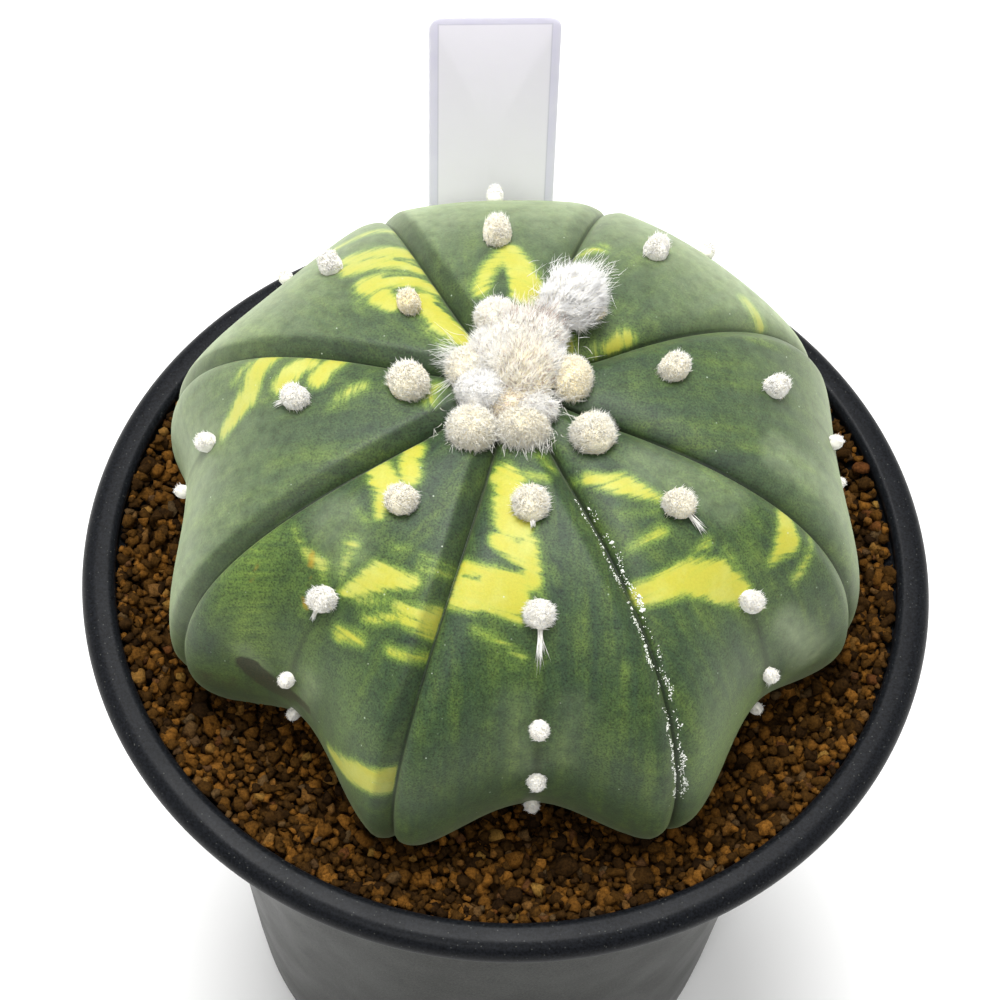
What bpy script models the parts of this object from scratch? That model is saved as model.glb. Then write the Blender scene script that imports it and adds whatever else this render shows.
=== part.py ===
"""Star cactus with eight ribs in a round plastic pot.

Metres, +Z up. The origin is the centre of the pot's base, on the surface that
the pot stands on. +X is the plant's right and -Y its front.
"""
import bpy
import bmesh
import math
from mathutils import Vector

MM = 0.001
NAME = "potted_star_cactus"
GAP = 0.3 * MM
MERGE = 0.00001

# Pot: rolled rim, flared lip, long wall with a slight taper, raised floor
POT_HEIGHT = 105.0 * MM
POT_STEPS = 48
RIM_RADIUS = 52.8 * MM
RIM_INNER_RADIUS = 48.6 * MM
RIM_HEIGHT = 2.5 * MM
RIM_OUTER_ROUND = 2.0 * MM
RIM_INNER_ROUND = 1.0 * MM
RIM_LOWER_ROUND = 0.4 * MM
WALL = 1.0 * MM
WALL_TOP_RADIUS = 42.0 * MM
WALL_TAPER = 0.046
LIP_FLARE = 7.8 * MM
LIP_DECAY = 6.0 * MM
WALL_DEPTHS = [depth * MM for depth in (2.5, 4, 6, 8.5, 11.5, 15, 20, 27, 40, 60, 80)]
FOOT_RADIUS = 37.2 * MM
FOOT_ROUND = 1.2 * MM
FLOOR = 1.5 * MM
FLOOR_SHAPE = [(0.0, 0.0), (8 * MM, 0.0), (11 * MM, 2.5 * MM), (27 * MM, 2.5 * MM), (30 * MM, 0.0)]
DRAIN_COUNT = 8
DRAIN_RADIUS = 2.5 * MM
DRAIN_CIRCLE = 19.0 * MM
DRAIN_CUT = 12.0 * MM

SOIL_DEPTH = 3.0 * MM
SOIL_TOP = POT_HEIGHT - SOIL_DEPTH

# Plant: eight ribs, each with a groove on either side and an areole line down its middle.
# The lists run anticlockwise, seen from above, from the groove at the front left.
AXIS = Vector((-0.7 * MM, 2.7 * MM, 0.0))
RIB_NAMES = ["front", "front_right", "right", "back_right", "back", "back_left", "left", "front_left"]
GROOVE_AZIMUTH = [-102, -59.5, -17, 29, 74.5, 121.5, 169, 214.5]
GROOVE_SWIRL = [-3, -3, -1.5, -5, 0, -8, -1, -4]
GROOVE_RADIUS = [45.2, 46.0, 44.8, 43.4, 42.6, 41.9, 43.3, 44.2]
AREOLE_AZIMUTH = [-80.5, -35.5, 11, 55.5, 97.5, 140.5, 185.5, 233.5]
AREOLE_SWIRL = [-2.5, -4, -7.5, -7, -3.5, 2, 0.5, -4]
AREOLE_RADIUS = [38.9, 39.7, 40.7, 41.3, 40.0, 39.3, 38.7, 37.3]
CROWN_Z = POT_HEIGHT + 31.5 * MM
NECK_Z = POT_HEIGHT - 7.0 * MM
# Each outline from the crown down: height of its widest point, two powers and the undercut at the neck
AREOLE_CURVE = (POT_HEIGHT + 9.1 * MM, 1.16, 0.54, 0.155)
GROOVE_CURVE = (POT_HEIGHT + 4.5 * MM, 0.95, 0.63, 0.105)
GROOVE_DEPTH = 0.9 * MM
GROOVE_WIDTH = 0.8 * MM
CREASE_START = 12.0 * MM
SHOULDER_DEPTH = 0.7 * MM
SHOULDER_WIDTH = 4.5 * MM
# Rows down the plant: 0 is the crown, 1 the widest point, 2 the neck, a little under the soil
SKIN_ROWS = [0.03, 0.07, 0.12, 0.18, 0.25, 0.33, 0.42, 0.51, 0.6, 0.7, 0.8, 0.9, 1.0, 1.25, 1.5, 1.75, 2.0]
RIB_COLUMNS = [0.0, 0.25, 0.5, 0.7, 0.85, 0.95]
# Root: depth under the neck, share of the star outline left, radius of the round core
ROOT_ROWS = [(3, 0.9, 34), (8, 0.6, 24), (14, 0.25, 14), (20, 0, 7), (28, 0, 4.5), (36, 0, 2.5)]
ROOT_NECK = 0.9
ROOT_TIP = 3.0 * MM

# Areole tufts: place down the rib, as on SKIN_ROWS, and radius in mm
TUFTS = {
    "front": [(0.1, 2.3), (0.34, 1.9), (0.69, 1.35), (0.94, 1.3), (1.45, 1.1)],
    "front_right": [(0.05, 2.75), (0.24, 2.0), (0.56, 1.6), (0.89, 1.2), (1.37, 1.0)],
    "right": [(0.15, 2.0), (0.4, 1.75), (0.74, 1.15), (1.05, 1.0)],
    "back_right": [(0.32, 1.9), (0.64, 1.3), (0.98, 1.1)],
    "back": [(0.23, 2.2), (0.57, 1.5), (0.95, 1.0)],
    "back_left": [(0.13, 1.7), (0.39, 1.8), (0.7, 1.2), (1.0, 1.0)],
    "left": [(0.07, 2.6), (0.28, 1.8), (0.62, 1.5), (0.95, 1.1)],
    "front_left": [(0.18, 2.0), (0.51, 1.8), (0.88, 1.2), (1.37, 1.0)],
}
TUFT_LIFT = 0.35
TUFT_SEGMENTS = 10
TUFT_RINGS = 7

# Crown: centre from the plant's axis, height over the crown, then the three radii, in mm
WOOL = ((0.2, 1.4, 1.0), (5.2, 6.2, 3.8))
CROWN_TUFTS = [
    ((-4.3, -6.3, 0.4), (2.7, 2.7, 2.7)),
    ((1.5, -6.0, 0.4), (2.7, 2.7, 2.7)),
    ((7.0, 1.2, 0.8), (2.4, 2.4, 2.4)),
    ((-6.3, 0.6, 0.8), (2.5, 2.9, 2.6)),
    ((-3.2, 8.6, 0.8), (2.3, 2.2, 2.2)),
]
BUD = ((7.0, 9.6, 3.0), (4.1, 3.7, 4.2))

# Label: bare plastic tag leaning back behind the plant
LABEL_WIDTH = 16.2 * MM
LABEL_THICKNESS = 0.6 * MM
LABEL_ABOVE = 48.7 * MM
# Half widths of the taper to the tip, each with its height over the foot point
LABEL_TAPER = [(1.5 * MM, -28.0 * MM), (4.6 * MM, -8.0 * MM), (6.6 * MM, 0.0), (8.1 * MM, 6.0 * MM)]
LABEL_CORNER = 1.7 * MM
LABEL_FOOT = Vector((-5.0 * MM, 41.1 * MM, 98.0 * MM))
LABEL_LEAN = math.radians(11.5)
LABEL_YAW = math.radians(6.0)


def clear_scene():
    for obj in list(bpy.data.objects):
        bpy.data.objects.remove(obj, do_unlink=True)


def new_collection(name):
    collection = bpy.data.collections.new(name)
    bpy.context.scene.collection.children.link(collection)
    return collection


def new_material(name, color, roughness):
    material = bpy.data.materials.new(name)
    material.use_nodes = True
    shader = material.node_tree.nodes["Principled BSDF"]
    shader.inputs["Base Color"].default_value = (*color, 1.0)
    shader.inputs["Roughness"].default_value = roughness
    shader.inputs["Metallic"].default_value = 0.0
    material.diffuse_color = (*color, 1.0)
    return material


def add_object(name, data, collection, material=None):
    obj = bpy.data.objects.new(name, data)
    collection.objects.link(obj)
    if material:
        data.materials.append(material)
    return obj


def mesh_from_bmesh(name, bm):
    mesh = bpy.data.meshes.new(name)
    bm.to_mesh(mesh)
    bm.free()
    mesh.shade_smooth()
    mesh.set_sharp_from_angle(angle=math.radians(40))
    return mesh


def as_cutter(obj):
    obj.hide_render = True
    obj.display_type = "WIRE"
    return obj


def subtract(obj, cutter):
    cut = obj.modifiers.new("cut_" + cutter.name, "BOOLEAN")
    cut.operation = "DIFFERENCE"
    cut.solver = "EXACT"
    cut.object = cutter


def arc(center_r, center_z, radius, start, end, count):
    """Points along a round corner of a profile, angles in degrees from +R towards +Z."""
    points = []
    for i in range(count + 1):
        angle = math.radians(start + (end - start) * i / count)
        points.append((center_r + radius * math.cos(angle), center_z + radius * math.sin(angle)))
    return points


def turned(name, profile, collection, material):
    """Closed solid turned about Z from a profile that starts and ends on the axis."""
    bm = bmesh.new()
    verts = [bm.verts.new((radius, 0.0, height)) for radius, height in profile]
    for a, b in zip(verts, verts[1:]):
        bm.edges.new((a, b))
    obj = add_object(name, mesh_from_bmesh(name, bm), collection, material)
    screw = obj.modifiers.new("turn", "SCREW")
    screw.axis = "Z"
    screw.angle = 2 * math.pi
    screw.steps = POT_STEPS
    screw.render_steps = POT_STEPS
    screw.use_merge_vertices = True
    screw.merge_threshold = MERGE
    return obj


def wall_radius(depth):
    """Outer radius of the pot: a straight taper, plus a lip flare that dies away under the rim."""
    below_rim = depth - RIM_HEIGHT
    return WALL_TOP_RADIUS - WALL_TAPER * below_rim + LIP_FLARE * math.exp(-below_rim / LIP_DECAY)


def make_pot(collection, cutters):
    top = POT_HEIGHT
    outer = [(wall_radius(depth), top - depth) for depth in WALL_DEPTHS]
    inner = [(radius - WALL, height) for radius, height in reversed(outer)]
    inner_foot = FOOT_RADIUS - WALL
    profile = [(radius, height + FLOOR) for radius, height in FLOOR_SHAPE]
    profile.append((inner_foot, FLOOR))
    profile += inner
    profile += arc(RIM_INNER_RADIUS + RIM_INNER_ROUND, top - RIM_INNER_ROUND, RIM_INNER_ROUND, 180, 90, 4)
    profile += arc(RIM_RADIUS - RIM_OUTER_ROUND, top - RIM_OUTER_ROUND, RIM_OUTER_ROUND, 90, 0, 5)
    lower = top - RIM_HEIGHT + RIM_LOWER_ROUND
    profile += arc(RIM_RADIUS - RIM_LOWER_ROUND, lower, RIM_LOWER_ROUND, 0, -90, 3)
    profile += outer
    profile += arc(FOOT_RADIUS - FOOT_ROUND, FOOT_ROUND, FOOT_ROUND, 0, -90, 3)
    profile += list(reversed(FLOOR_SHAPE))
    pot = turned("pot", profile, collection, new_material("black_plastic", (0.02, 0.022, 0.028), 0.45))
    bm = bmesh.new()
    for i in range(DRAIN_COUNT):
        angle = 2 * math.pi * (i + 0.5) / DRAIN_COUNT
        center = Vector((DRAIN_CIRCLE * math.cos(angle), DRAIN_CIRCLE * math.sin(angle), FLOOR))
        ring = bmesh.ops.create_cone(bm, cap_ends=True, segments=12, radius1=DRAIN_RADIUS,
                                     radius2=DRAIN_RADIUS, depth=DRAIN_CUT)
        bmesh.ops.translate(bm, vec=center, verts=ring["verts"])
    drains = as_cutter(add_object("drain_holes", mesh_from_bmesh("drain_holes", bm), cutters))
    subtract(pot, drains)


def outline(place, radius, curve):
    """Radius and height on an outline: a rounded dome to the widest point, then an undercut to the neck."""
    wide_z, height_power, radius_power, undercut = curve
    if place <= 1.0:
        angle = place * math.pi / 2
        height = wide_z + (CROWN_Z - wide_z) * max(math.cos(angle), 0.0) ** height_power
        return radius * math.sin(angle) ** radius_power, height
    down = place - 1.0
    return radius * (1.0 - undercut * down * down), wide_z + (NECK_Z - wide_z) * down


def skin_point(rib, across, place, crease=GROOVE_DEPTH):
    """Point of the skin. across runs from -1 at one groove, over 0 at the areole line, to 1 at the other."""
    groove = rib if across < 0 else (rib + 1) % len(RIB_NAMES)
    turn = 360.0 if groove < rib else 0.0
    side = abs(across)
    swirl = math.sin(min(place, 1.0) * math.pi / 2) - 0.5
    areole_r, areole_z = outline(place, AREOLE_RADIUS[rib] * MM, AREOLE_CURVE)
    groove_r, groove_z = outline(place, GROOVE_RADIUS[groove] * MM, GROOVE_CURVE)
    azimuth_a = AREOLE_AZIMUTH[rib] + AREOLE_SWIRL[rib] * swirl
    azimuth_g = GROOVE_AZIMUTH[groove] + GROOVE_SWIRL[groove] * swirl + turn
    share = math.sin(math.pi / 2 * side * side)
    radius = areole_r + (groove_r - areole_r) * share
    height = areole_z + (groove_z - areole_z) * share
    azimuth = math.radians(azimuth_a + (azimuth_g - azimuth_a) * side)
    # The groove is a narrow crease in a wide soft shoulder
    off_groove = (1.0 - side) * radius * abs(math.radians(azimuth_g - azimuth_a))
    sink = crease * min(radius / CREASE_START, 1.0) * math.exp(-off_groove / GROOVE_WIDTH)
    flat = max(math.cos(min(place, 1.0) * math.pi / 2), 0.0)
    sink += SHOULDER_DEPTH * flat * math.exp(-(off_groove / SHOULDER_WIDTH) ** 2)
    radius -= sink * (1.0 - flat)
    height -= sink * flat
    return AXIS + Vector((radius * math.cos(azimuth), radius * math.sin(azimuth), height))


def ring_places():
    """Rib and place across it for each column round the plant."""
    places = []
    for rib in range(len(RIB_NAMES)):
        places.append((rib, -1.0))
        places += [(rib, -share) for share in reversed(RIB_COLUMNS)]
        places += [(rib, share) for share in RIB_COLUMNS[1:]]
    return places


def plant_rings(crease):
    """Rings of points from the crown down over the skin and on down the buried root."""
    columns = ring_places()
    rings = [[skin_point(rib, across, place, crease) for rib, across in columns] for place in SKIN_ROWS]
    neck_ring = rings[-1]
    for depth, star, core in ROOT_ROWS:
        ring = []
        for point in neck_ring:
            flat = Vector((point.x - AXIS.x, point.y - AXIS.y, 0.0))
            radius = star * flat.length * ROOT_NECK + (1.0 - star) * core * MM
            ring.append(AXIS + flat.normalized() * radius + Vector((0, 0, NECK_Z - depth * MM)))
        rings.append(ring)
    return rings


def plant_mesh(name, crease=GROOVE_DEPTH, proud=0.0):
    """Skin lofted through the rings and closed at both ends, moved out along its normals by proud."""
    rings = plant_rings(crease)
    bm = bmesh.new()
    rows = [[bm.verts.new(point) for point in ring] for ring in rings]
    count = len(rows[0])
    for upper, lower in zip(rows, rows[1:]):
        for i in range(count):
            j = (i + 1) % count
            bm.faces.new((upper[i], lower[i], lower[j], upper[j]))
    crown = bm.verts.new(sum(rings[0], Vector()) / count)
    tip = bm.verts.new(sum(rings[-1], Vector()) / count - Vector((0, 0, ROOT_TIP)))
    for i in range(count):
        j = (i + 1) % count
        bm.faces.new((crown, rows[0][i], rows[0][j]))
        bm.faces.new((tip, rows[-1][j], rows[-1][i]))
    bm.normal_update()
    shifts = [vert.normal * proud for vert in bm.verts]
    for vert, shift in zip(bm.verts, shifts):
        vert.co += shift
    return mesh_from_bmesh(name, bm)


def skin_frame(rib, place):
    """Point and outward normal on a rib's areole line."""
    step = 0.02
    point = skin_point(rib, 0.0, place)
    down = skin_point(rib, 0.0, place + step) - skin_point(rib, 0.0, max(place - step, 0.001))
    around = skin_point(rib, 0.1, place) - skin_point(rib, -0.1, place)
    return point, down.cross(around).normalized()


def ellipsoid(name, center, radii, collection, material, margin=0.0):
    bm = bmesh.new()
    bmesh.ops.create_uvsphere(bm, u_segments=TUFT_SEGMENTS, v_segments=TUFT_RINGS, radius=1.0)
    sizes = [radius + margin for radius in radii]
    bmesh.ops.scale(bm, vec=Vector(sizes), verts=bm.verts)
    obj = add_object(name, mesh_from_bmesh(name, bm), collection, material)
    obj.location = center
    return obj


def make_tufts(collection, skin_cutter, material):
    for rib, name in enumerate(RIB_NAMES):
        for number, (place, radius_mm) in enumerate(TUFTS[name], start=1):
            radius = radius_mm * MM
            point, normal = skin_frame(rib, place)
            center = point + normal * radius * TUFT_LIFT
            tuft = ellipsoid(f"areole_{name}_{number}", center, [radius] * 3, collection, material)
            subtract(tuft, skin_cutter)


def crown_place(offset):
    return AXIS + Vector((offset[0] * MM, offset[1] * MM, CROWN_Z + offset[2] * MM))


def make_crown(collection, cutters, skin_cutter, material):
    offset, radii = WOOL
    radii = [radius * MM for radius in radii]
    wool = ellipsoid("crown_wool", crown_place(offset), radii, collection, material)
    subtract(wool, skin_cutter)
    margin = ellipsoid("crown_wool_margin", crown_place(offset), radii, cutters, None, GAP)
    as_cutter(margin)
    for number, (offset, radii) in enumerate(CROWN_TUFTS, start=1):
        radii = [radius * MM for radius in radii]
        tuft = ellipsoid(f"crown_areole_{number}", crown_place(offset), radii, collection, material)
        subtract(tuft, skin_cutter)
        subtract(tuft, margin)
    offset, radii = BUD
    radii = [radius * MM for radius in radii]
    bud_material = new_material("bud_hair", (0.72, 0.7, 0.66), 0.9)
    bud = ellipsoid("flower_bud", crown_place(offset), radii, collection, bud_material)
    subtract(bud, skin_cutter)
    subtract(bud, margin)


def label_curve(name, collection, material, margin=0.0):
    """Flat tag: round top corners, straight sides, and a taper to a narrow foot under the soil."""
    half = LABEL_WIDTH / 2 + margin
    top = LABEL_ABOVE + margin
    corner = LABEL_CORNER
    taper = [(width + margin, height) for width, height in LABEL_TAPER]
    taper[0] = (taper[0][0], taper[0][1] - margin)
    points = list(taper)
    points += arc(half - corner, top - corner, corner, 0, 90, 5)
    points += arc(-half + corner, top - corner, corner, 90, 180, 5)
    points += [(-width, height) for width, height in reversed(taper)]
    curve = bpy.data.curves.new(name, "CURVE")
    curve.dimensions = "2D"
    curve.fill_mode = "BOTH"
    curve.extrude = LABEL_THICKNESS / 2 + margin
    spline = curve.splines.new("POLY")
    spline.points.add(len(points) - 1)
    for spot, (x, y) in zip(spline.points, points):
        spot.co = (x, y, 0.0, 1.0)
    spline.use_cyclic_u = True
    tag = add_object(name, curve, collection, material)
    tag.location = LABEL_FOOT
    tag.rotation_euler = (math.pi / 2 - LABEL_LEAN, 0.0, LABEL_YAW)
    return tag


def curve_to_mesh(curve_object, collection):
    """Mesh object in a curve's place, its caps welded to its sides."""
    bpy.context.view_layer.update()
    graph = bpy.context.evaluated_depsgraph_get()
    mesh = bpy.data.meshes.new_from_object(curve_object.evaluated_get(graph))
    bm = bmesh.new()
    bm.from_mesh(mesh)
    bmesh.ops.remove_doubles(bm, verts=bm.verts, dist=MERGE)
    bm.to_mesh(mesh)
    bm.free()
    name = curve_object.name
    matrix = curve_object.matrix_world.copy()
    bpy.data.objects.remove(curve_object, do_unlink=True)
    obj = add_object(name, mesh, collection)
    obj.matrix_world = matrix
    return obj


def make_soil(collection, cutters, skin_cutter):
    """Soil filling the pot from floor to surface, with the plant's and the tag's places left out."""
    floor = [(radius, height + FLOOR + GAP) for radius, height in FLOOR_SHAPE]
    floor.append((FOOT_RADIUS - WALL - GAP, FLOOR + GAP))
    deep = [depth for depth in WALL_DEPTHS if depth > SOIL_DEPTH]
    sides = [(wall_radius(depth) - WALL - GAP, POT_HEIGHT - depth) for depth in reversed(deep)]
    rim = (wall_radius(SOIL_DEPTH) - WALL - GAP, SOIL_TOP)
    profile = [(0.0, SOIL_TOP), rim] + list(reversed(sides)) + list(reversed(floor))
    soil = turned("potting_soil", profile, collection, new_material("soil", (0.2, 0.09, 0.035), 0.95))
    slot = curve_to_mesh(label_curve("label_slot", cutters, None, GAP), cutters)
    as_cutter(slot)
    subtract(soil, skin_cutter)
    subtract(soil, slot)


def main():
    clear_scene()
    parts = new_collection(NAME)
    cutters = new_collection("cutters")
    skin_green = new_material("cactus_skin", (0.11, 0.17, 0.08), 0.6)
    felt = new_material("areole_felt", (0.8, 0.76, 0.66), 0.95)
    white_plastic = new_material("label_plastic", (0.8, 0.8, 0.83), 0.4)
    make_pot(parts, cutters)
    add_object("cactus_body", plant_mesh("cactus_body"), parts, skin_green)
    skin_cutter = as_cutter(add_object("plant_margin", plant_mesh("plant_margin", 0.0, GAP), cutters))
    make_soil(parts, cutters, skin_cutter)
    make_tufts(parts, skin_cutter, felt)
    make_crown(parts, cutters, skin_cutter, felt)
    label_curve("plant_label", parts, white_plastic)


main()
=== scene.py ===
import math
import bpy
import numpy as np
from mathutils import Euler, Matrix, Vector


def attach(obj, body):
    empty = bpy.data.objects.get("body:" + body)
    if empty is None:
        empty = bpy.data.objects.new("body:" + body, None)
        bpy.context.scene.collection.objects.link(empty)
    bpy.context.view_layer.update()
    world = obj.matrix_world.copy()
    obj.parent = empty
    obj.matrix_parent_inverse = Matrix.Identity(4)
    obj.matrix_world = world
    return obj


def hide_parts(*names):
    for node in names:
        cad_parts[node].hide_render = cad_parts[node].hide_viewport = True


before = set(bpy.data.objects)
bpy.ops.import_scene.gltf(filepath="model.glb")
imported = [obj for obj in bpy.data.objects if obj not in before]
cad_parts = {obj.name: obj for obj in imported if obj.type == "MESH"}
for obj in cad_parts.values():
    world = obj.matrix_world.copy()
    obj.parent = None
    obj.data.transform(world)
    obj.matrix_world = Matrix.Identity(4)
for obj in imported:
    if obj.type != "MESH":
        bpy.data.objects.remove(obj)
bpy.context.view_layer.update()        # bodies, nodes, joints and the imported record
print("frame loaded:", len(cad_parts), "nodes")

mm = 0.001
upward = np.array([0.0, 0.0, 1.0])


# sRGB hex to linear: a share up to 0.04045 over 12.92, else (share + 0.055) / 1.055 to the power 2.4
def linearColor(hexCode):
    shares = [int(hexCode[start:start + 2], 16) / 255 for start in (1, 3, 5)]
    return [c / 12.92 if c <= 0.04045 else ((c + 0.055) / 1.055) ** 2.4 for c in shares] + [1.0]


# One shader node: settings go to its inputs or properties, and links join other nodes' outputs to its
# inputs. It gives back the output of that name, or else the first one in use
def addNode(tree, kind, settings=None, links=None, output=None):
    made = tree.nodes.new("ShaderNode" + kind)
    for key, value in (settings or {}).items():
        if key == "stops":
            ramp = made.color_ramp.elements
            while len(ramp) < len(value):
                ramp.new(0.5)
            for stop, (position, hexCode) in zip(ramp, value):
                stop.position = position
                stop.color = linearColor(hexCode)
        elif isinstance(key, int) or key in made.inputs:
            made.inputs[key].default_value = value
        else:
            setattr(made, key, value)
    for key, source in (links or {}).items():
        tree.links.new(source, made.inputs[key])
    return made.outputs[output] if output else next(socket for socket in made.outputs if socket.enabled)


# A material with its shader inputs set by name
def newMaterial(name, settings):
    material = bpy.data.materials.new(name)
    material.use_nodes = True
    shader = material.node_tree.nodes["Principled BSDF"]
    for key, value in settings.items():
        shader.inputs[key].default_value = value
    return material, material.node_tree, shader


# A shape is points, arrays of faces and values on the points; joining moves each face's numbers along
def joinShapes(shapes):
    start = 0
    faces = []
    for shape in shapes:
        faces += [group + start for group in shape["faces"]]
        start += len(shape["points"])
    values = {key: np.concatenate([shape["values"][key] for shape in shapes]) for key in shapes[0]["values"]}
    return {"points": np.concatenate([shape["points"] for shape in shapes]), "faces": faces, "values": values}


# Mesh object from a shape, whose values become attributes of its points
def meshObject(name, shape, material, sharpAngle=None):
    mesh = bpy.data.meshes.new(name)
    faces = [face for group in shape["faces"] for face in group.tolist()]
    mesh.from_pydata(shape["points"].tolist(), [], faces)
    for key, array in shape["values"].items():
        vector = array.ndim == 2
        field = mesh.attributes.new(key, "FLOAT_VECTOR" if vector else "FLOAT", "POINT")
        field.data.foreach_set("vector" if vector else "value", array.astype(np.float32).ravel())
    mesh.shade_smooth()
    if sharpAngle:
        mesh.set_sharp_from_angle(angle=math.radians(sharpAngle))
    mesh.materials.append(material)
    made = bpy.data.objects.new(name, mesh)
    bpy.context.scene.collection.objects.link(made)
    return made


# A piece of the part: everything rides on its only body
def addPiece(name, shape, material, sharpAngle=None):
    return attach(meshObject(name, shape, material, sharpAngle), "root")


# Grid of rows and columns: each point joins its neighbours in a quad and the columns wrap round.
# The rows wrap too, or a fan closes the first and the last row at their mean point
def gridShape(points, values=None, wrapRows=False):
    rows, columns = points.shape[:2]
    row = np.arange(rows if wrapRows else rows - 1)[:, None] * columns
    below = (row + columns) % (rows * columns)
    column = np.arange(columns)[None, :]
    beside = (column + 1) % columns
    faces = [np.stack([row + column, below + column, below + beside, row + beside], -1).reshape(-1, 4)]
    if not wrapRows:
        first = rows * columns
        here, there = np.arange(columns), (np.arange(columns) + 1) % columns
        last = here + first - columns
        faces.append(np.stack([np.full(columns, first), here, there], -1))
        faces.append(np.stack([np.full(columns, first + 1), there + first - columns, last], -1))

    def flatten(array):
        flat = array.reshape((-1,) + array.shape[2:])
        if wrapRows:
            return flat
        return np.concatenate([flat, array[:1].mean(1), array[-1:].mean(1)])

    return {"points": flatten(points), "faces": faces,
            "values": {key: flatten(array) for key, array in (values or {}).items()}}


# Vectors brought to length 1
def normalized(vectors):
    return vectors / np.maximum(np.linalg.norm(vectors, axis=-1, keepdims=True), 1e-12)


# Smooth step from 0 at low to 1 at high
def smoothStep(low, high, array):
    share = np.clip((array - low) / (high - low), 0, 1)
    return share * share * (3 - 2 * share)


# Soft lumps: the mean of sine waves over the points, with random directions and phases
def lumps(rng, points, size, waves=12):
    ways = normalized(rng.normal(size=(waves, 3))) * 2 * math.pi / size
    return np.sin(points @ ways.T + rng.uniform(0, 2 * math.pi, waves)).mean(-1)


# Points along a round corner, angles in degrees from +R towards +Z
def corner(centerR, centerZ, radius, start, end, count):
    angles = np.radians(np.linspace(start, end, count))
    return list(zip(centerR + radius * np.cos(angles), centerZ + radius * np.sin(angles)))


# Turned shape: each profile point (radius, height) goes round the Z axis in equal steps
def turnedPoints(profile, steps):
    radius, height = np.array(profile).T
    angle = np.arange(steps) * 2 * math.pi / steps
    ring = np.stack([np.cos(angle), np.sin(angle), 0 * angle], -1)
    return radius[:, None, None] * ring[None] + height[:, None, None] * upward


# Hairs with three sides: the middle line is root + direction * length * t + bend * t * t,
# the half width falls evenly to a point at the tip, and the tone fades towards white there
def hairShape(rng, roots, directions, lengths, width, bends, tones, rings):
    count = len(roots)
    helper = np.where(np.abs(directions[:, 2:]) < 0.9, upward, np.array([1.0, 0.0, 0.0]))
    sideA = normalized(np.cross(directions, helper))
    sideB = np.cross(directions, sideA)
    along = np.arange(rings) / rings
    line = roots[:, None] + directions[:, None] * (lengths[:, None] * along)[..., None]
    line = line + bends[:, None] * (along * along)[None, :, None]
    turn = np.arange(3) * 2 * math.pi / 3
    spokes = sideA[:, None] * np.cos(turn)[:, None] + sideB[:, None] * np.sin(turn)[:, None]
    around = line[:, :, None] + (width * (1 - 0.7 * along))[:, None, None] * spokes[:, None]
    tips = roots + directions * lengths[:, None] + bends
    points = np.concatenate([around.reshape(count, -1, 3), tips[:, None]], 1)
    size = 3 * rings + 1
    start = (np.arange(count) * size)[:, None, None]
    side = np.arange(3)
    beside = (side + 1) % 3
    level = (np.arange(rings - 1) * 3)[:, None]
    quads = np.stack([level + side, level + beside, level + 3 + beside, level + 3 + side], -1).reshape(-1, 4)
    top = 3 * (rings - 1)
    tris = np.stack([top + side, top + beside, np.full(3, size - 1)], -1)
    tris = np.concatenate([tris, [[0, 2, 1]]])
    share = np.append(np.repeat(along, 3), 1.0)
    values = {"tone": (tones[:, None] * (1 - 0.65 * share)).ravel(),
              "strand": np.repeat(rng.uniform(0, 1, count), size)}
    return {"points": points.reshape(-1, 3), "values": values,
            "faces": [(start + quads).reshape(-1, 4), (start + tris).reshape(-1, 3)]}


# A bend for each hair: a random way times a share of its length
def randomBends(rng, lengths, share):
    return normalized(rng.normal(size=(len(lengths), 3))) * (lengths * share)[:, None]


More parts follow.
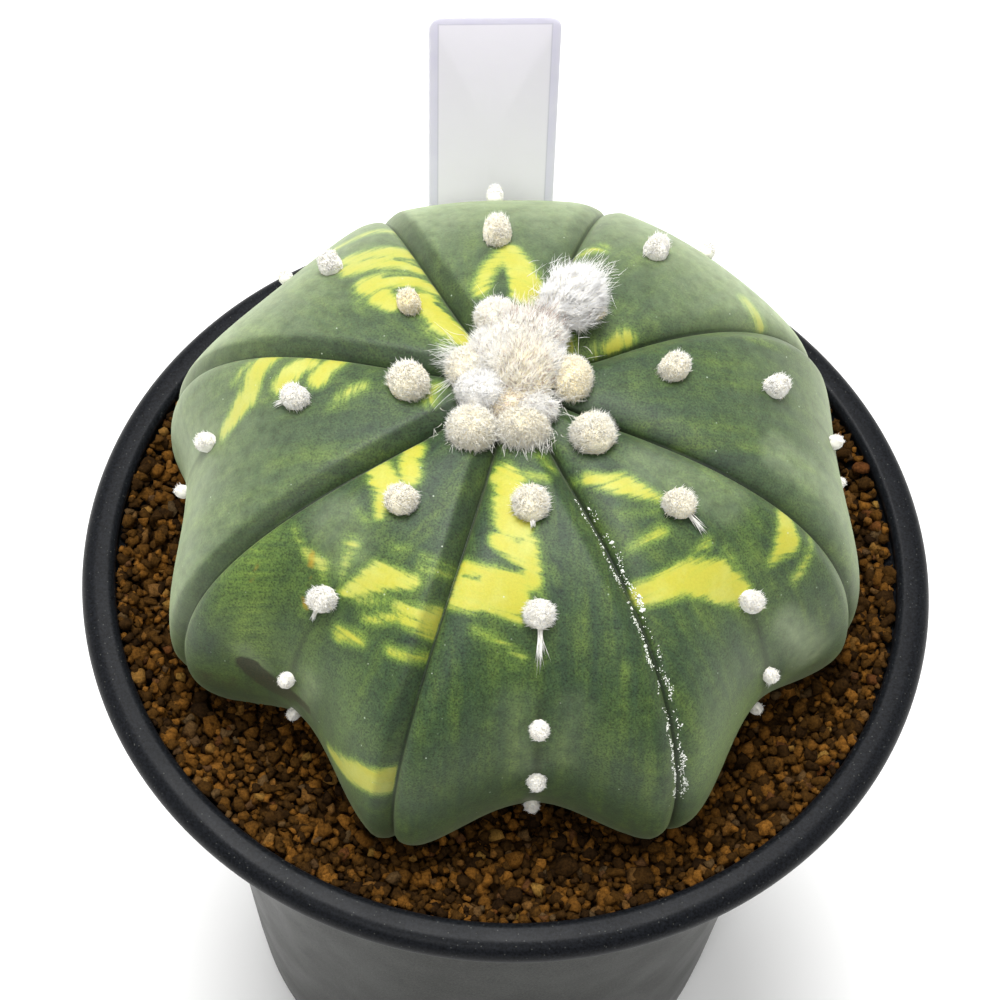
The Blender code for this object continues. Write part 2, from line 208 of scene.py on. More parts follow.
# Plant: eight ribs with a groove on either side and an areole line down the middle.
# Lists run anticlockwise, seen from above, from the groove at the front left
plant = {
    "axis": (-0.7 * mm, 2.7 * mm),
    "crownZ": 136.5 * mm,
    "neckZ": 98.0 * mm,
    "ribs": ["front", "front_right", "right", "back_right", "back", "back_left", "left", "front_left"],
    "grooveAzimuth": [-102, -59.5, -17, 29, 74.5, 121.5, 169, 214.5],
    "grooveSwirl": [-3, -3, -1.5, -5, 0, -8, -1, -4],
    "grooveRadius": [45.2, 46.0, 44.8, 43.4, 42.6, 41.9, 43.3, 44.2],
    "areoleAzimuth": [-80.5, -35.5, 11, 55.5, 97.5, 140.5, 185.5, 233.5],
    "areoleSwirl": [-2.5, -4, -7.5, -7, -3.5, 2, 0.5, -4],
    "areoleRadius": [38.9, 39.7, 40.7, 41.3, 40.0, 39.3, 38.7, 37.3],
    # From the crown down: height of the widest point, two powers and the undercut at the neck
    "areoleCurve": (114.1 * mm, 1.16, 0.54, 0.155),
    "grooveCurve": (109.5 * mm, 0.95, 0.63, 0.105),
    # Bank beside a groove: depth, width and roundness of its ridge, before the groove and after it
    "banks": ((1.35 * mm, 2.15 * mm, 0.16 * mm), (1.05 * mm, 2.3 * mm, 0.75 * mm)),
    # Painted shade of the dark bank of each groove, before it and after it
    "bankShade": [(1.0, 0.0), (0.35, 0.3), (0.1, 0.7), (0.0, 0.7),
                  (0.15, 0.5), (0.9, 0.0), (0.95, 0.0), (1.0, 0.0)],
    # Pale bloom on the shoulder of each rib, partly painted sheen: most on the back and side ribs
    "bloom": [0.0, 0.05, 0.3, 1.3, 1.5, 1.0, 0.5, 0.0],
    # Slope of the yellow streaks across each rib
    "streakSlope": [0.4, 0.4, 0.2, 0.2, 0.0, 0.2, 0.2, -0.35],
    # Marks by kind, each a rib and a stroke as in the yellow patches: dark dried skin, orange spots and
    # silvery wax
    "marks": {
        "dry": [(7, (-0.4, 0.91, 1.7, -0.16, 1.05, 2.3, 1)), (7, (-0.16, 1.05, 1.3, 0.2, 0.95, 0.8, 1)),
                (1, (0.6, 1.3, 3.5, 0.6, 1.3, 3.5, 0.5)), (0, (0.05, 1.45, 4, 0.05, 1.45, 4, 0.5)),
                (7, (-0.7, 1.1, 2.5, -0.5, 1.15, 2.5, 0.5)),
                (1, (-0.05, 1.05, 1.2, -0.05, 1.05, 1.2, 0.5))],
        "rust": [(7, (-0.45, 0.4, 0.25, -0.36, 0.44, 0.4, 1)), (7, (-0.2, 0.55, 0.3, -0.14, 0.57, 0.4, 0.9)),
                 (7, (-0.28, 0.47, 0.2, -0.24, 0.5, 0.2, 0.6)), (7, (-0.5, 0.56, 0.2, -0.5, 0.56, 0.2, 0.5)),
                 (7, (-0.75, 0.5, 0.3, -0.7, 0.55, 0.3, 0.4)),
                 (7, (-0.45, 0.82, 0.3, -0.35, 0.85, 0.3, 0.4))],
        "wax": [(7, (-0.45, 0.84, 0.8, -0.32, 0.9, 0.8, 0.6)), (7, (0.2, 0.8, 1.0, 0.15, 0.95, 1.0, 0.4)),
                (7, (-0.55, 0.3, 3, -0.2, 0.35, 3, 0.3)), (1, (0.3, 0.72, 1.5, 0.5, 0.95, 2.5, 0.7)),
                (0, (0.3, 0.6, 1.5, 0.2, 0.8, 1.5, 0.15)), (1, (0.3, 0.15, 3, 0.6, 0.3, 3, 0.3)),
                (0, (-0.2, 0.6, 2, -0.1, 0.85, 2, 0.15)), (2, (-0.6, 0.4, 3, -0.6, 0.65, 3, 0.5))],
    },
    "markEdges": {"dry": 0.7 * mm, "rust": 0.45 * mm, "wax": 2.0 * mm},
    # The painted shade of the dark bank fades between these distances from the groove, before it and after it
    "bankFade": ((1.7 * mm, 2.6 * mm), (0.4 * mm, 3.4 * mm)),
    "furrowWidth": 0.45 * mm,
    "creaseDepth": 0.8 * mm,
    "creaseWidth": 0.26 * mm,
    "creaseStart": 12.0 * mm,
    "columnsPerRib": 46,
    "skinRows": 205,
    "rootRows": [(3, 0.9, 34), (8, 0.6, 24), (14, 0.25, 14), (20, 0, 7), (28, 0, 4.5), (36, 0, 2.5)],
    "rootNeck": 0.9,
}
ribCount = len(plant["ribs"])
plantAxis = np.array([*plant["axis"], 0.0])


# Azimuth and distance of points about the plant's axis
def aroundPlant(points):
    x, y = points[..., 0] - plantAxis[0], points[..., 1] - plantAxis[1]
    return np.arctan2(y, x), np.hypot(x, y)


# Radius and height on an outline: a rounded dome to the widest point at place 1, then an undercut to
# the neck at place 2, a little under the soil
def outline(place, radius, curve):
    wideZ, heightPower, radiusPower, undercut = curve
    angle = np.minimum(place, 1) * math.pi / 2
    down = np.maximum(place - 1, 0)
    dome = wideZ + (plant["crownZ"] - wideZ) * np.maximum(np.cos(angle), 0) ** heightPower
    height = np.where(place <= 1, dome, wideZ + (plant["neckZ"] - wideZ) * down)
    return radius * np.sin(angle) ** radiusPower * (1 - undercut * down * down), height


# Point of the skin. across runs from -1 at one groove, over 0 at the areole line, to 1 at the next groove.
# The groove is a narrow crease at the foot of two straight banks, which start at a soft shoulder
def skinPoint(rib, across, place):
    rib, across, place = np.broadcast_arrays(rib, across, place)
    groove = np.where(across < 0, rib, rib + 1)
    side = np.abs(across)
    grooveAzimuth = np.array(plant["grooveAzimuth"] + [plant["grooveAzimuth"][0] + 360])
    wrapped = groove % ribCount
    swirl = np.sin(np.minimum(place, 1) * math.pi / 2) - 0.5
    areoleR, areoleZ = outline(place, np.array(plant["areoleRadius"])[rib] * mm, plant["areoleCurve"])
    grooveR, grooveZ = outline(place, np.array(plant["grooveRadius"])[wrapped] * mm, plant["grooveCurve"])
    azimuthA = np.array(plant["areoleAzimuth"])[rib] + np.array(plant["areoleSwirl"])[rib] * swirl
    azimuthG = grooveAzimuth[groove] + np.array(plant["grooveSwirl"])[wrapped] * swirl
    share = np.sin(math.pi / 2 * side * side)
    radius = areoleR + (grooveR - areoleR) * share
    height = areoleZ + (grooveZ - areoleZ) * share
    azimuth = np.radians(azimuthA + (azimuthG - azimuthA) * side)
    offGroove = (1 - side) * radius * np.abs(np.radians(azimuthG - azimuthA))
    fade = np.minimum(radius / plant["creaseStart"], 1)
    depth, width, soft = np.moveaxis(np.array(plant["banks"])[(across < 0).astype(int)], -1, 0)
    bank = soft * np.logaddexp(0, (width - offGroove) / soft) / width
    sink = fade * (depth * bank + plant["creaseDepth"] * np.exp(-offGroove / plant["creaseWidth"]))
    flat = np.maximum(np.cos(np.minimum(place, 1) * math.pi / 2), 0)
    radius = radius - sink * (1 - flat)
    height = height - sink * flat
    point = np.stack([radius * np.cos(azimuth), radius * np.sin(azimuth), height], -1) + plantAxis
    return point, offGroove


# Point and outward normal of the skin, from its slopes down and across
def skinFrame(rib, across, place):
    step = 0.015
    point = skinPoint(rib, across, place)[0]
    down = skinPoint(rib, across, place + step)[0]
    down = down - skinPoint(rib, across, np.maximum(place - step, 0.001))[0]
    beside = skinPoint(rib, np.minimum(across + 0.06, 1), place)[0]
    beside = beside - skinPoint(rib, np.maximum(across - 0.06, -1), place)[0]
    return point, normalized(np.cross(down, beside)), normalized(down)


# Yellow patches as brush strokes: across, place and half width in mm at one end,
# the same at the other end, and strength. A negative strength takes yellow away
yellowStrokes = {
    "front": [
        (-0.6, 0.07, 1.43, -0.3, 0.08, 1.32, 1), (-0.5, 0.09, 1.32, -0.3, 0.15, 2.09, 1),
        (-0.5, 0.18, 1.1, -0.1, 0.22, 1.21, 1), (-0.1, 0.19, 1.1, -0.05, 0.27, 0.99, 1),
        (-0.9, 0.23, 1.21, -0.3, 0.28, 2.09, 1), (-0.85, 0.26, 1.87, -0.3, 0.31, 1.98, 1),
        (-0.95, 0.29, 0.66, -0.7, 0.3, 1.1, 1), (-0.3, 0.32, 1.32, -0.2, 0.36, 0.33, 1),
        (0.5, 0.05, 0.66, 0.75, 0.07, 0.44, 0.5), (0.0, 0.07, 0.66, 0.45, 0.08, 0.44, 0.6),
        (0.05, 0.2, 0.33, 0.1, 0.24, 0.22, 0.4), (0.0, 0.28, 0.44, 0.05, 0.32, 0.22, 0.5),
        (-0.65, 0.36, 0.33, -0.4, 0.4, 0.33, 0.6), (-0.4, 0.4, 0.33, -0.15, 0.46, 0.33, 0.6),
        (-0.35, 0.44, 0.33, -0.25, 0.48, 0.44, 0.3), (0.2, 0.24, 0.33, 0.25, 0.28, 0.22, 0.3),
        (-0.8, 0.18, 0.25, -0.25, 0.24, 0.15, -0.9), (-0.9, 0.24, 0.2, -0.7, 0.25, 0.15, -1),
        (-0.3, 0.5, 3, 0.1, 0.8, 3, 0.08), (0.5, 0.6, 3, 0.5, 0.9, 3, 0.08),
    ],
    "front_left": [
        (-0.8, 0.16, 1.38, -0.4, 0.18, 1.62, 1), (-0.4, 0.18, 1.5, -0.15, 0.24, 0.5, 1),
        (-0.8, 0.1, 1.25, -0.25, 0.14, 1.12, 1), (-0.4, 0.26, 0.5, -0.2, 0.27, 0.38, 0.4),
        (-0.15, 0.34, 1, 0.0, 0.42, 0.38, 0.6), (0.3, 0.28, 0.38, 0.4, 0.26, 0.38, 0.5),
        (0.1, 0.46, 0.38, 0.3, 0.36, 1.62, 1), (0.3, 0.36, 1.62, 0.65, 0.3, 0.62, 1),
        (0.6, 0.25, 0.38, 1.0, 0.23, 0.5, 0.5), (0.65, 0.27, 0.38, 0.95, 0.24, 0.5, 0.6),
        (0.25, 0.45, 0.25, 0.5, 0.38, 0.38, 0.6), (0.6, 0.37, 0.5, 1.0, 0.32, 1, 1),
        (0.7, 0.38, 0.5, 1.0, 0.35, 1.12, 1), (0.4, 0.46, 0.38, 0.7, 0.37, 0.62, 0.8),
        (0.25, 0.56, 0.88, 0.45, 0.51, 0.62, 0.8), (0.7, 0.46, 0.5, 1.0, 0.41, 0.62, 0.8),
        (0.5, 0.96, 0.9, 0.78, 0.83, 1.7, 1), (0.78, 0.83, 1.7, 1.0, 0.77, 2.0, 1),
        (0.85, 0.93, 0.38, 1.0, 0.9, 0.25, 0.3), (-0.5, 0.41, 0.5, -0.25, 0.43, 0.75, 0.8),
        (-0.8, 0.36, 0.38, -0.55, 0.4, 0.38, 0.5), (-0.15, 0.58, 0.5, -0.15, 0.6, 0.38, 0.5),
        (-0.2, 0.45, 0.38, -0.1, 0.48, 0.38, 0.5), (-0.85, 0.45, 4, -0.4, 0.8, 4, 0.25),
        (-0.3, 0.5, 3, 0.2, 0.75, 3, 0.14), (0.5, 0.6, 3, 0.6, 0.95, 3, 0.14),
        (-0.7, 0.95, 3, -0.5, 1.05, 3, 0.16),
    ],
    "front_right": [
        (-1.0, 0.09, 0.34, -0.65, 0.1, 0.45, 0.5), (-0.7, 0.1, 0.67, -0.3, 0.14, 1.23, 1),
        (-0.3, 0.14, 1.23, -0.1, 0.2, 0.45, 1), (-0.8, 0.23, 0.45, -0.35, 0.25, 0.9, 0.55),
        (-0.65, 0.17, 0.34, -0.2, 0.22, 0.34, 0.35), (-0.9, 0.31, 1.34, -0.45, 0.36, 1.79, 1),
        (-0.45, 0.36, 1.79, -0.15, 0.44, 2.35, 1), (-0.15, 0.45, 2.24, 0.0, 0.53, 1.34, 1),
        (-0.3, 0.36, 1.01, 0.0, 0.35, 0.45, 0.7), (0.1, 0.4, 0.34, 0.1, 0.51, 0.45, 0.5),
        (0.9, 0.44, 1.12, 0.7, 0.49, 1.57, 1), (0.7, 0.49, 1.12, 0.45, 0.51, 0.45, 1),
        (-0.7, 0.85, 5, -0.3, 1.0, 5, 0.22), (0.1, 0.6, 3, 0.2, 0.8, 3, 0.1),
        (0.95, 0.53, 0.34, 0.55, 0.6, 0.56, 0.7), (0.6, 0.38, 0.45, 0.1, 0.49, 0.45, 0.25),
        (0.8, 0.26, 0.45, 0.65, 0.29, 0.45, 0.25), (-0.2, 0.35, 0.35, -0.1, 0.36, 0.3, -1),
    ],
    "left": [
        (-0.9, 0.36, 1.35, -0.3, 0.44, 1.5, 1), (-0.3, 0.44, 1.5, 0.0, 0.54, 0.9, 1),
        (-0.85, 0.41, 0.45, -0.6, 0.47, 0.45, 0.6), (-0.95, 0.33, 0.45, -0.35, 0.41, 0.45, 0.7),
        (-0.8, 0.26, 1.35, -0.4, 0.32, 1.35, 1), (-0.9, 0.2, 1.2, -0.4, 0.23, 1.2, 1),
        (-0.15, 0.14, 0.75, 0.05, 0.18, 0.75, 0.6), (0.15, 0.18, 0.45, 0.15, 0.2, 0.45, 0.4),
        (-0.1, 0.04, 0.9, 0.35, 0.05, 0.9, 0.6),
    ],
    "back_left": [
        (-0.95, 0.42, 0.66, -0.35, 0.52, 0.66, 0.8), (-0.2, 0.37, 1.32, -0.9, 0.28, 1.15, 1),
        (-0.1, 0.33, 1.48, -0.9, 0.22, 0.99, 1), (0.05, 0.24, 1.48, -0.9, 0.16, 0.99, 1),
        (0.1, 0.19, 1.48, 0.1, 0.16, 1.15, 1), (-0.45, 0.13, 1.48, -0.3, 0.07, 1.65, 1),
        (-0.3, 0.07, 1.65, -0.4, 0.04, 1.32, 1), (0.15, 0.09, 0.33, 0.3, 0.04, 0.49, 0.5),
        (0.2, 0.24, 0.82, 0.3, 0.21, 0.82, 0.3), (-0.65, 0.12, 0.3, -0.95, 0.08, 0.2, -1),
        (-0.65, 0.27, 0.15, -0.95, 0.23, 0.15, -1), (-0.25, 0.23, 0.2, -1.0, 0.18, 0.2, -1),
    ],
    "back": [
        (-0.1, 0.18, 1.12, 0.4, 0.1, 1, 0.8), (-0.15, 0.18, 1.38, -0.5, 0.1, 2.12, 1),
        (-0.05, 0.13, 0.2, 0.0, 0.09, 0.8, -1),
    ],
    "back_right": [
        (1.0, 0.23, 0.68, 0.6, 0.26, 0.81, 0.7), (-0.2, 0.04, 0.94, -0.55, 0.04, 0.94, 0.7),
        (-0.9, 0.09, 0.94, -0.85, 0.12, 1.22, 0.9), (-0.95, 0.07, 0.68, -0.7, 0.07, 0.54, 0.5),
        (-0.7, 0.46, 0.81, -0.95, 0.46, 1.08, 0.9), (-0.55, 0.26, 0.54, -0.75, 0.24, 0.54, 0.2),
    ],
    "right": [],
}


# Nearness to a stroke: its line over the skin is cut in short pieces, and the value rises from 0 to 1
# over the soft edge, where the distance to the nearest piece equals the half width there
def strokeValue(points, rib, stroke, edge):
    acrossA, placeA, widthA, acrossB, placeB, widthB, _ = stroke
    steps = np.linspace(0, 1, 9)
    line = skinPoint(rib, acrossA + (acrossB - acrossA) * steps, placeA + (placeB - placeA) * steps)[0]
    widths = (widthA + (widthB - widthA) * steps) * mm
    best = np.full(points.shape[:-1], -1.0)
    for i in range(len(steps) - 1):
        way = line[i + 1] - line[i]
        t = np.clip(((points - line[i]) @ way) / max(way @ way, 1e-12), 0, 1)
        distance = np.linalg.norm(points - line[i] - t[..., None] * way, axis=-1)
        best = np.maximum(best, widths[i] + (widths[i + 1] - widths[i]) * t - distance)
    return smoothStep(-edge, edge, best)


# Yellow over one rib: the strongest stroke counts, and a negative one rubs it out
def yellowField(points, rib, strokes):
    field = np.zeros(points.shape[:-1])
    for stroke in strokes:
        strength = stroke[-1]
        # Weak strokes are wide washes
        edge = 0.35 if strength < 0 else 1.1 if strength > 0.25 else 4.0
        value = strokeValue(points, rib, stroke, edge * mm)
        field = np.maximum(field, value * strength) if strength > 0 else field * (1 - 0.85 * value)
    return field


# Places down the skin at equal steps along a mean outline, so that the rows lie evenly
def evenPlaces(count):
    place = np.linspace(0.0, 2.0, 4000)
    radius, height = outline(place, 42 * mm, plant["areoleCurve"])
    length = np.append(0, np.cumsum(np.hypot(np.diff(radius), np.diff(height))))
    return np.interp(np.linspace(0.02, 1, count) * length[-1], length, place), length[-1]


# Columns across a rib are closer together near the grooves
def ribColumns(count):
    even = np.linspace(-1, 1, count, endpoint=False)
    return np.sign(even) * (1 - (1 - np.abs(even)) ** 1.3)


# Skin: the grid of skinPoint over all ribs, with the fields that colour it, then rings down the root
def makeSkin(material):
    columns = ribColumns(plant["columnsPerRib"])
    rib = np.repeat(np.arange(ribCount), len(columns))
    across = np.tile(columns, ribCount)
    places, length = evenPlaces(plant["skinRows"])
    points, offGroove = skinPoint(rib[None], across[None], places[:, None])
    down = np.linspace(0.02, 1, len(places)) * length
    yellow = np.zeros(points.shape[:2])
    for number, name in enumerate(plant["ribs"]):
        mine = rib == number
        yellow[:, mine] = yellowField(points[:, mine], number, yellowStrokes[name])
    radius = aroundPlant(points)[1]
    beside = across[None] * radius * 0.4
    slope = np.array(plant["streakSlope"])[rib]
    flow = np.stack([beside, down[:, None] - beside * slope, np.tile(rib * 0.05, (len(places), 1))], -1)
    # Painted shade on the dark banks: full at the groove and out to a ridge, crisp before the groove and soft
    # after it
    after = across < 0
    shades = np.array(plant["bankShade"])[np.where(after, rib, rib + 1) % ribCount, after.astype(int)]
    crisp, softer = (1 - smoothStep(*fade, offGroove) for fade in plant["bankFade"])
    bankDark = shades * np.where(after, softer, crisp) * smoothStep(3 * mm, 9 * mm, radius)
    bloom = np.array(plant["bloom"])[rib] * smoothStep(0.0, 0.8, places)[:, None] * (1 - 0.5 * bankDark)
    # Painted shade along a faint furrow that joins the areoles in the lower half
    midline = np.exp(-(beside / plant["furrowWidth"]) ** 2) * smoothStep(0.5, 0.7, places)[:, None]
    marks = {}
    for kind, edge in plant["markEdges"].items():
        marks[kind] = np.zeros(points.shape[:2])
        for markRib, stroke in plant["marks"][kind]:
            marks[kind] = np.maximum(marks[kind], strokeValue(points, markRib, stroke, edge) * stroke[-1])
    # The root follows the neck's outline in, ring by ring, to a thin tip
    rings = []
    neckRing = points[-1] - plantAxis
    flatRadius = np.hypot(neckRing[:, 0], neckRing[:, 1])[:, None]
    for depth, star, core in plant["rootRows"]:
        ringRadius = star * flatRadius * plant["rootNeck"] + (1 - star) * core * mm
        ring = neckRing * [1, 1, 0] / flatRadius * ringRadius + plantAxis
        rings.append(ring + upward * (plant["neckZ"] - depth * mm))
    root = np.stack(rings)
    fields = {"yellow": yellow, "offGroove": offGroove / mm, "bankDark": bankDark, "midline": midline,
              "bloom": np.maximum(bloom, marks["wax"]), "dry": marks["dry"], "rust": marks["rust"],
              "flow": flow / mm}
    # On the root every field is 0, but for the distance to a groove, which is out of its reach
    below = {name: np.zeros(root.shape[:2] + field.shape[2:]) for name, field in fields.items()}
    below["offGroove"] += 9
    values = {name: np.concatenate([field, below[name]]) for name, field in fields.items()}
    shape = gridShape(np.concatenate([points, root]), values)
    piece = addPiece("cactus_skin", shape, material)
    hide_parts("cactus_body")
    # The bed of soil meets the skin at its surface, and follows it down to the root
    return [skinPoint(rib, across, np.full(len(rib), place))[0] for place in (1.8, 2.0)], root


# Star cactus epidermis: waxy green skin with a matt bloom, partly painted sheen, that pales it towards the
# outline, soft yellow patches without chlorophyll, small pale flecks and painted shade on the banks beside
# the grooves
def skinMaterial():
    material, tree, shader = newMaterial("waxyCactusEpidermis", {
        "Roughness": 0.5, "IOR": 1.5, "Specular IOR Level": 0.3, "Sheen Weight": 0.2, "Sheen Roughness": 0.5,
        "Sheen Tint": linearColor("#EEFFC8"), "Subsurface Weight": 0.06, "Subsurface Scale": 0.6 * mm})
    coords = addNode(tree, "TexCoord", output="Object")
    yellow, offGroove, bankDark, midline, bloom, dry, rust = (
        addNode(tree, "Attribute", {"attribute_name": name}, output="Fac")
        for name in ("yellow", "offGroove", "bankDark", "midline", "bloom", "dry", "rust"))
    flow = addNode(tree, "Attribute", {"attribute_name": "flow"}, output="Vector")
    # Streaks 0.7 mm wide and 8 mm long that run round the plant, and wider ones that run down it
    roundWay = addNode(tree, "Mapping", {"Scale": (0.12, 1.4, 10.0)}, {"Vector": flow})
    streaks = addNode(tree, "TexNoise", {"Scale": 1.0, "Detail": 3.0, "Roughness": 0.6}, {"Vector": roundWay})
    downWay = addNode(tree, "Mapping", {"Scale": (0.42, 0.05, 10.0)}, {"Vector": flow})
    stripes = addNode(tree, "TexNoise", {"Scale": 1.0, "Detail": 3.0, "Roughness": 0.6}, {"Vector": downWay})
    # Grain of the skin cells, 0.1 mm, drawn three times as coarse so that it shows, clouds and mottle
    grain, clouds, mottle = (
        addNode(tree, "TexNoise", {"Scale": scale / mm, "Detail": 4.0, "Roughness": 0.65},
                {"Vector": coords}) for scale in (4.2, 0.17, 0.6))
    # Yellow edges: the field plus streaks, mottle and a little grain, most where the field is weak
    shifted = addNode(tree, "Math", {"operation": "MULTIPLY_ADD", 1: 1.5, 2: -0.75}, {0: streaks})
    mottled = addNode(tree, "Math", {"operation": "MULTIPLY_ADD", 1: 0.5}, {0: mottle, 2: shifted})
    rough = addNode(tree, "Math", {"operation": "MULTIPLY_ADD", 1: 0.16}, {0: grain, 2: mottled})
    centred = addNode(tree, "Math", {"operation": "SUBTRACT", 1: 0.33}, {0: rough})
    gate = addNode(tree, "MapRange", {1: 0.12, 2: 0.6, 3: 0.1}, {0: yellow})
    edge = addNode(tree, "Math", {"operation": "MULTIPLY_ADD"}, {0: centred, 1: gate, 2: yellow})
    # Greens: blue-grey to leaf green in clouds, with lengthwise stripes low down, then mottle and grain
    cloudSum = addNode(tree, "Mix", {0: 0.6}, {2: clouds, 3: stripes})
    greens = [(0.34, "#354A38"), (0.46, "#405837"), (0.54, "#4C6436"), (0.66, "#667D39")]
    cloudGreen = addNode(tree, "ValToRGB", {"stops": greens}, {0: cloudSum})
    mottleRamp = addNode(tree, "ValToRGB", {"stops": [
        (0.32, "#BCC6C6"), (0.48, "#E2E8DE"), (0.66, "#FFFFEE")]}, {0: mottle})
    mottledGreen = addNode(tree, "Mix", {"data_type": "RGBA", "blend_type": "MULTIPLY", 0: 1.0},
                           {6: cloudGreen, 7: mottleRamp})
    lime = addNode(tree, "MapRange", {1: 0.04, 2: 0.4, 4: 0.85}, {0: edge})
    limed = addNode(tree, "Mix", {"data_type": "RGBA", 7: linearColor("#72903A")}, {0: lime, 6: mottledGreen})
    yellowRamp = addNode(tree, "ValToRGB", {"stops": [
        (0.3, "#819638"), (0.5, "#9CA63A"), (0.75, "#AFB03D"), (1.0, "#B5B03A")]}, {0: edge})
    paleShare = addNode(tree, "MapRange", {1: 0.45, 2: 0.65, 4: 0.55}, {0: clouds})
    yellows = addNode(tree, "Mix", {"data_type": "RGBA", 7: linearColor("#BCC068")},
                      {0: paleShare, 6: yellowRamp})
    cover = addNode(tree, "MapRange", {1: 0.18, 2: 0.8, "interpolation_type": "SMOOTHSTEP"}, {0: edge})
    mixed = addNode(tree, "Mix", {"data_type": "RGBA"}, {0: cover, 6: limed, 7: yellows})
    # Grain over all of it, faint on the yellow
    grainRamp = addNode(tree, "ValToRGB", {"stops": [
        (0.35, "#8C8F8A"), (0.5, "#DEDEDC"), (0.64, "#FFFFFF")]}, {0: grain})
    grainShare = addNode(tree, "MapRange", {1: 0.0, 2: 1.0, 3: 1.0, 4: 0.14}, {0: cover})
    colored = addNode(tree, "Mix", {"data_type": "RGBA", "blend_type": "MULTIPLY"},
                      {0: grainShare, 6: mixed, 7: grainRamp})
    # Painted shade on the banks, in the tight crease and along the furrow between the areoles
    crease = addNode(tree, "MapRange", {1: 0.05, 2: 0.42, 3: 0.8, 4: 0.0, "interpolation_type": "SMOOTHSTEP"},
                     {0: offGroove})
    bankShade = addNode(tree, "Math", {"operation": "MULTIPLY", 1: 0.42}, {0: bankDark})
    furrow = addNode(tree, "Math", {"operation": "MULTIPLY", 1: 0.6}, {0: midline})
    darkest = addNode(tree, "Math", {"operation": "MAXIMUM"}, {0: crease, 1: bankShade})
    darker = addNode(tree, "Math", {"operation": "MAXIMUM"}, {0: darkest, 1: furrow})
    # Pale bloom, partly painted sheen, broken up by the mottle
    bloomShare = addNode(tree, "MapRange", {1: 0.3, 2: 0.7, 3: 0.4, 4: 0.7}, {0: mottle})
    bloomed = addNode(tree, "Math", {"operation": "MULTIPLY"}, {0: bloomShare, 1: bloom})
    paled = addNode(tree, "Mix", {"data_type": "RGBA", 7: linearColor("#AEBC96")}, {0: bloomed, 6: colored})
    shaded = addNode(tree, "Mix", {"data_type": "RGBA", "blend_type": "MULTIPLY", 7: linearColor("#3A5428")},
                     {0: darker, 6: paled})
    # Orange spots and dark dried skin break up with the mottle
    rustEdge = addNode(tree, "Math", {"operation": "MULTIPLY_ADD", 1: 1.2}, {0: mottle, 2: rust})
    rustShare = addNode(tree, "MapRange", {1: 0.9, 2: 1.7, 4: 0.9}, {0: rustEdge})
    rusted = addNode(tree, "Mix", {"data_type": "RGBA", 7: linearColor("#A8821C")}, {0: rustShare, 6: shaded})
    dryEdge = addNode(tree, "Math", {"operation": "MULTIPLY_ADD", 1: 1.2}, {0: mottle, 2: dry})
    dryShare = addNode(tree, "MapRange", {1: 0.95, 2: 1.35, 4: 0.9}, {0: dryEdge})
    dryTone = addNode(tree, "ValToRGB", {"stops": [(0.42, "#10160C"), (0.6, "#33261B")]}, {0: grain})
    dried = addNode(tree, "Mix", {"data_type": "RGBA"}, {0: dryShare, 6: rusted, 7: dryTone})
    # Pale flecks of scale, 0.12 mm across and about 1.4 mm apart, on a third of the cells
    cells = addNode(tree, "TexVoronoi", {"Scale": 0.7 / mm}, {"Vector": coords})
    near = addNode(tree, "MapRange", {1: 0.04, 2: 0.085, 3: 1.0, 4: 0.0}, {0: cells})
    chosen = addNode(tree, "SeparateColor", {}, {0: cells.node.outputs["Color"]})
    some = addNode(tree, "MapRange", {1: 0.6, 2: 0.95, 3: 0.0, 4: 0.7}, {0: chosen})
    fleck = addNode(tree, "Math", {"operation": "MULTIPLY"}, {0: near, 1: some})
    flecked = addNode(tree, "Mix", {"data_type": "RGBA", 7: linearColor("#C4D0BC")}, {0: fleck, 6: dried})
    tree.links.new(flecked, shader.inputs["Base Color"])
    bump = addNode(tree, "Bump", {"Strength": 0.35, "Distance": 0.05 * mm}, {"Height": grain})
    tree.links.new(bump, shader.inputs["Normal"])
    return material


soilRings, rootRings = makeSkin(skinMaterial())
print("skin made")

# Areole tufts: place down the rib and radius in mm, in the order of the CAD nodes
tufts = {
    "places": {
        "front": [(0.12, 2.3), (0.35, 1.9), (0.69, 1.35), (0.94, 1.3), (1.45, 1.1)],
        "front_right": [(0.06, 2.75), (0.24, 2.0), (0.56, 1.6), (0.89, 1.2), (1.37, 1.0)],
        "right": [(0.15, 2.0), (0.4, 1.75), (0.74, 1.15), (1.05, 1.0)],
        "back_right": [(0.32, 1.9), (0.64, 1.3), (0.98, 1.1)],
        "back": [(0.23, 2.2), (0.57, 1.5), (0.95, 1.0)],
        "back_left": [(0.13, 1.7), (0.39, 1.8), (0.7, 1.2), (1.0, 1.0)],
        "left": [(0.07, 2.6), (0.28, 1.8), (0.62, 1.5), (0.95, 1.1)],
        "front_left": [(0.19, 2.0), (0.51, 1.8), (0.88, 1.2), (1.37, 1.0)],
    },
    # Tassels of loose hair below some tufts: rib, number from the crown, length in mm
    "tassels": [("front", 2, 4.6), ("front_right", 2, 3.0), ("front_left", 2, 1.8), ("left", 2, 1.6),
                ("front", 5, 1.6), ("front_right", 4, 1.6), ("front", 1, 1.2)],
    "tassel": {"hairs": 26, "width": 0.05 * mm, "spread": 0.12 * mm, "tone": 0.1},
    "lift": 0.35,
    "smallUnder": 1.55,
    # Shares of the radius across, along the rib and outward, and the hairs' length, large and small tufts
    "eggs": ((0.8, 0.9, 0.95), (0.74, 0.95, 0.92)),
    "shag": (0.42 * mm, 0.2 * mm),
    "shagShare": 0.16,
    "hairsPerArea": 560,
    # Tones: of the one ochre tuft, of those whose radius is larger than this, and of the rest
    "ochre": (("back_left", 1), 0.5),
    "cream": (1.95, 0.28),
    "white": 0.12,
    "cover": -0.5,                                    # how far round the hairs go, 0 for the outer half
    "stand": 1.2,
}

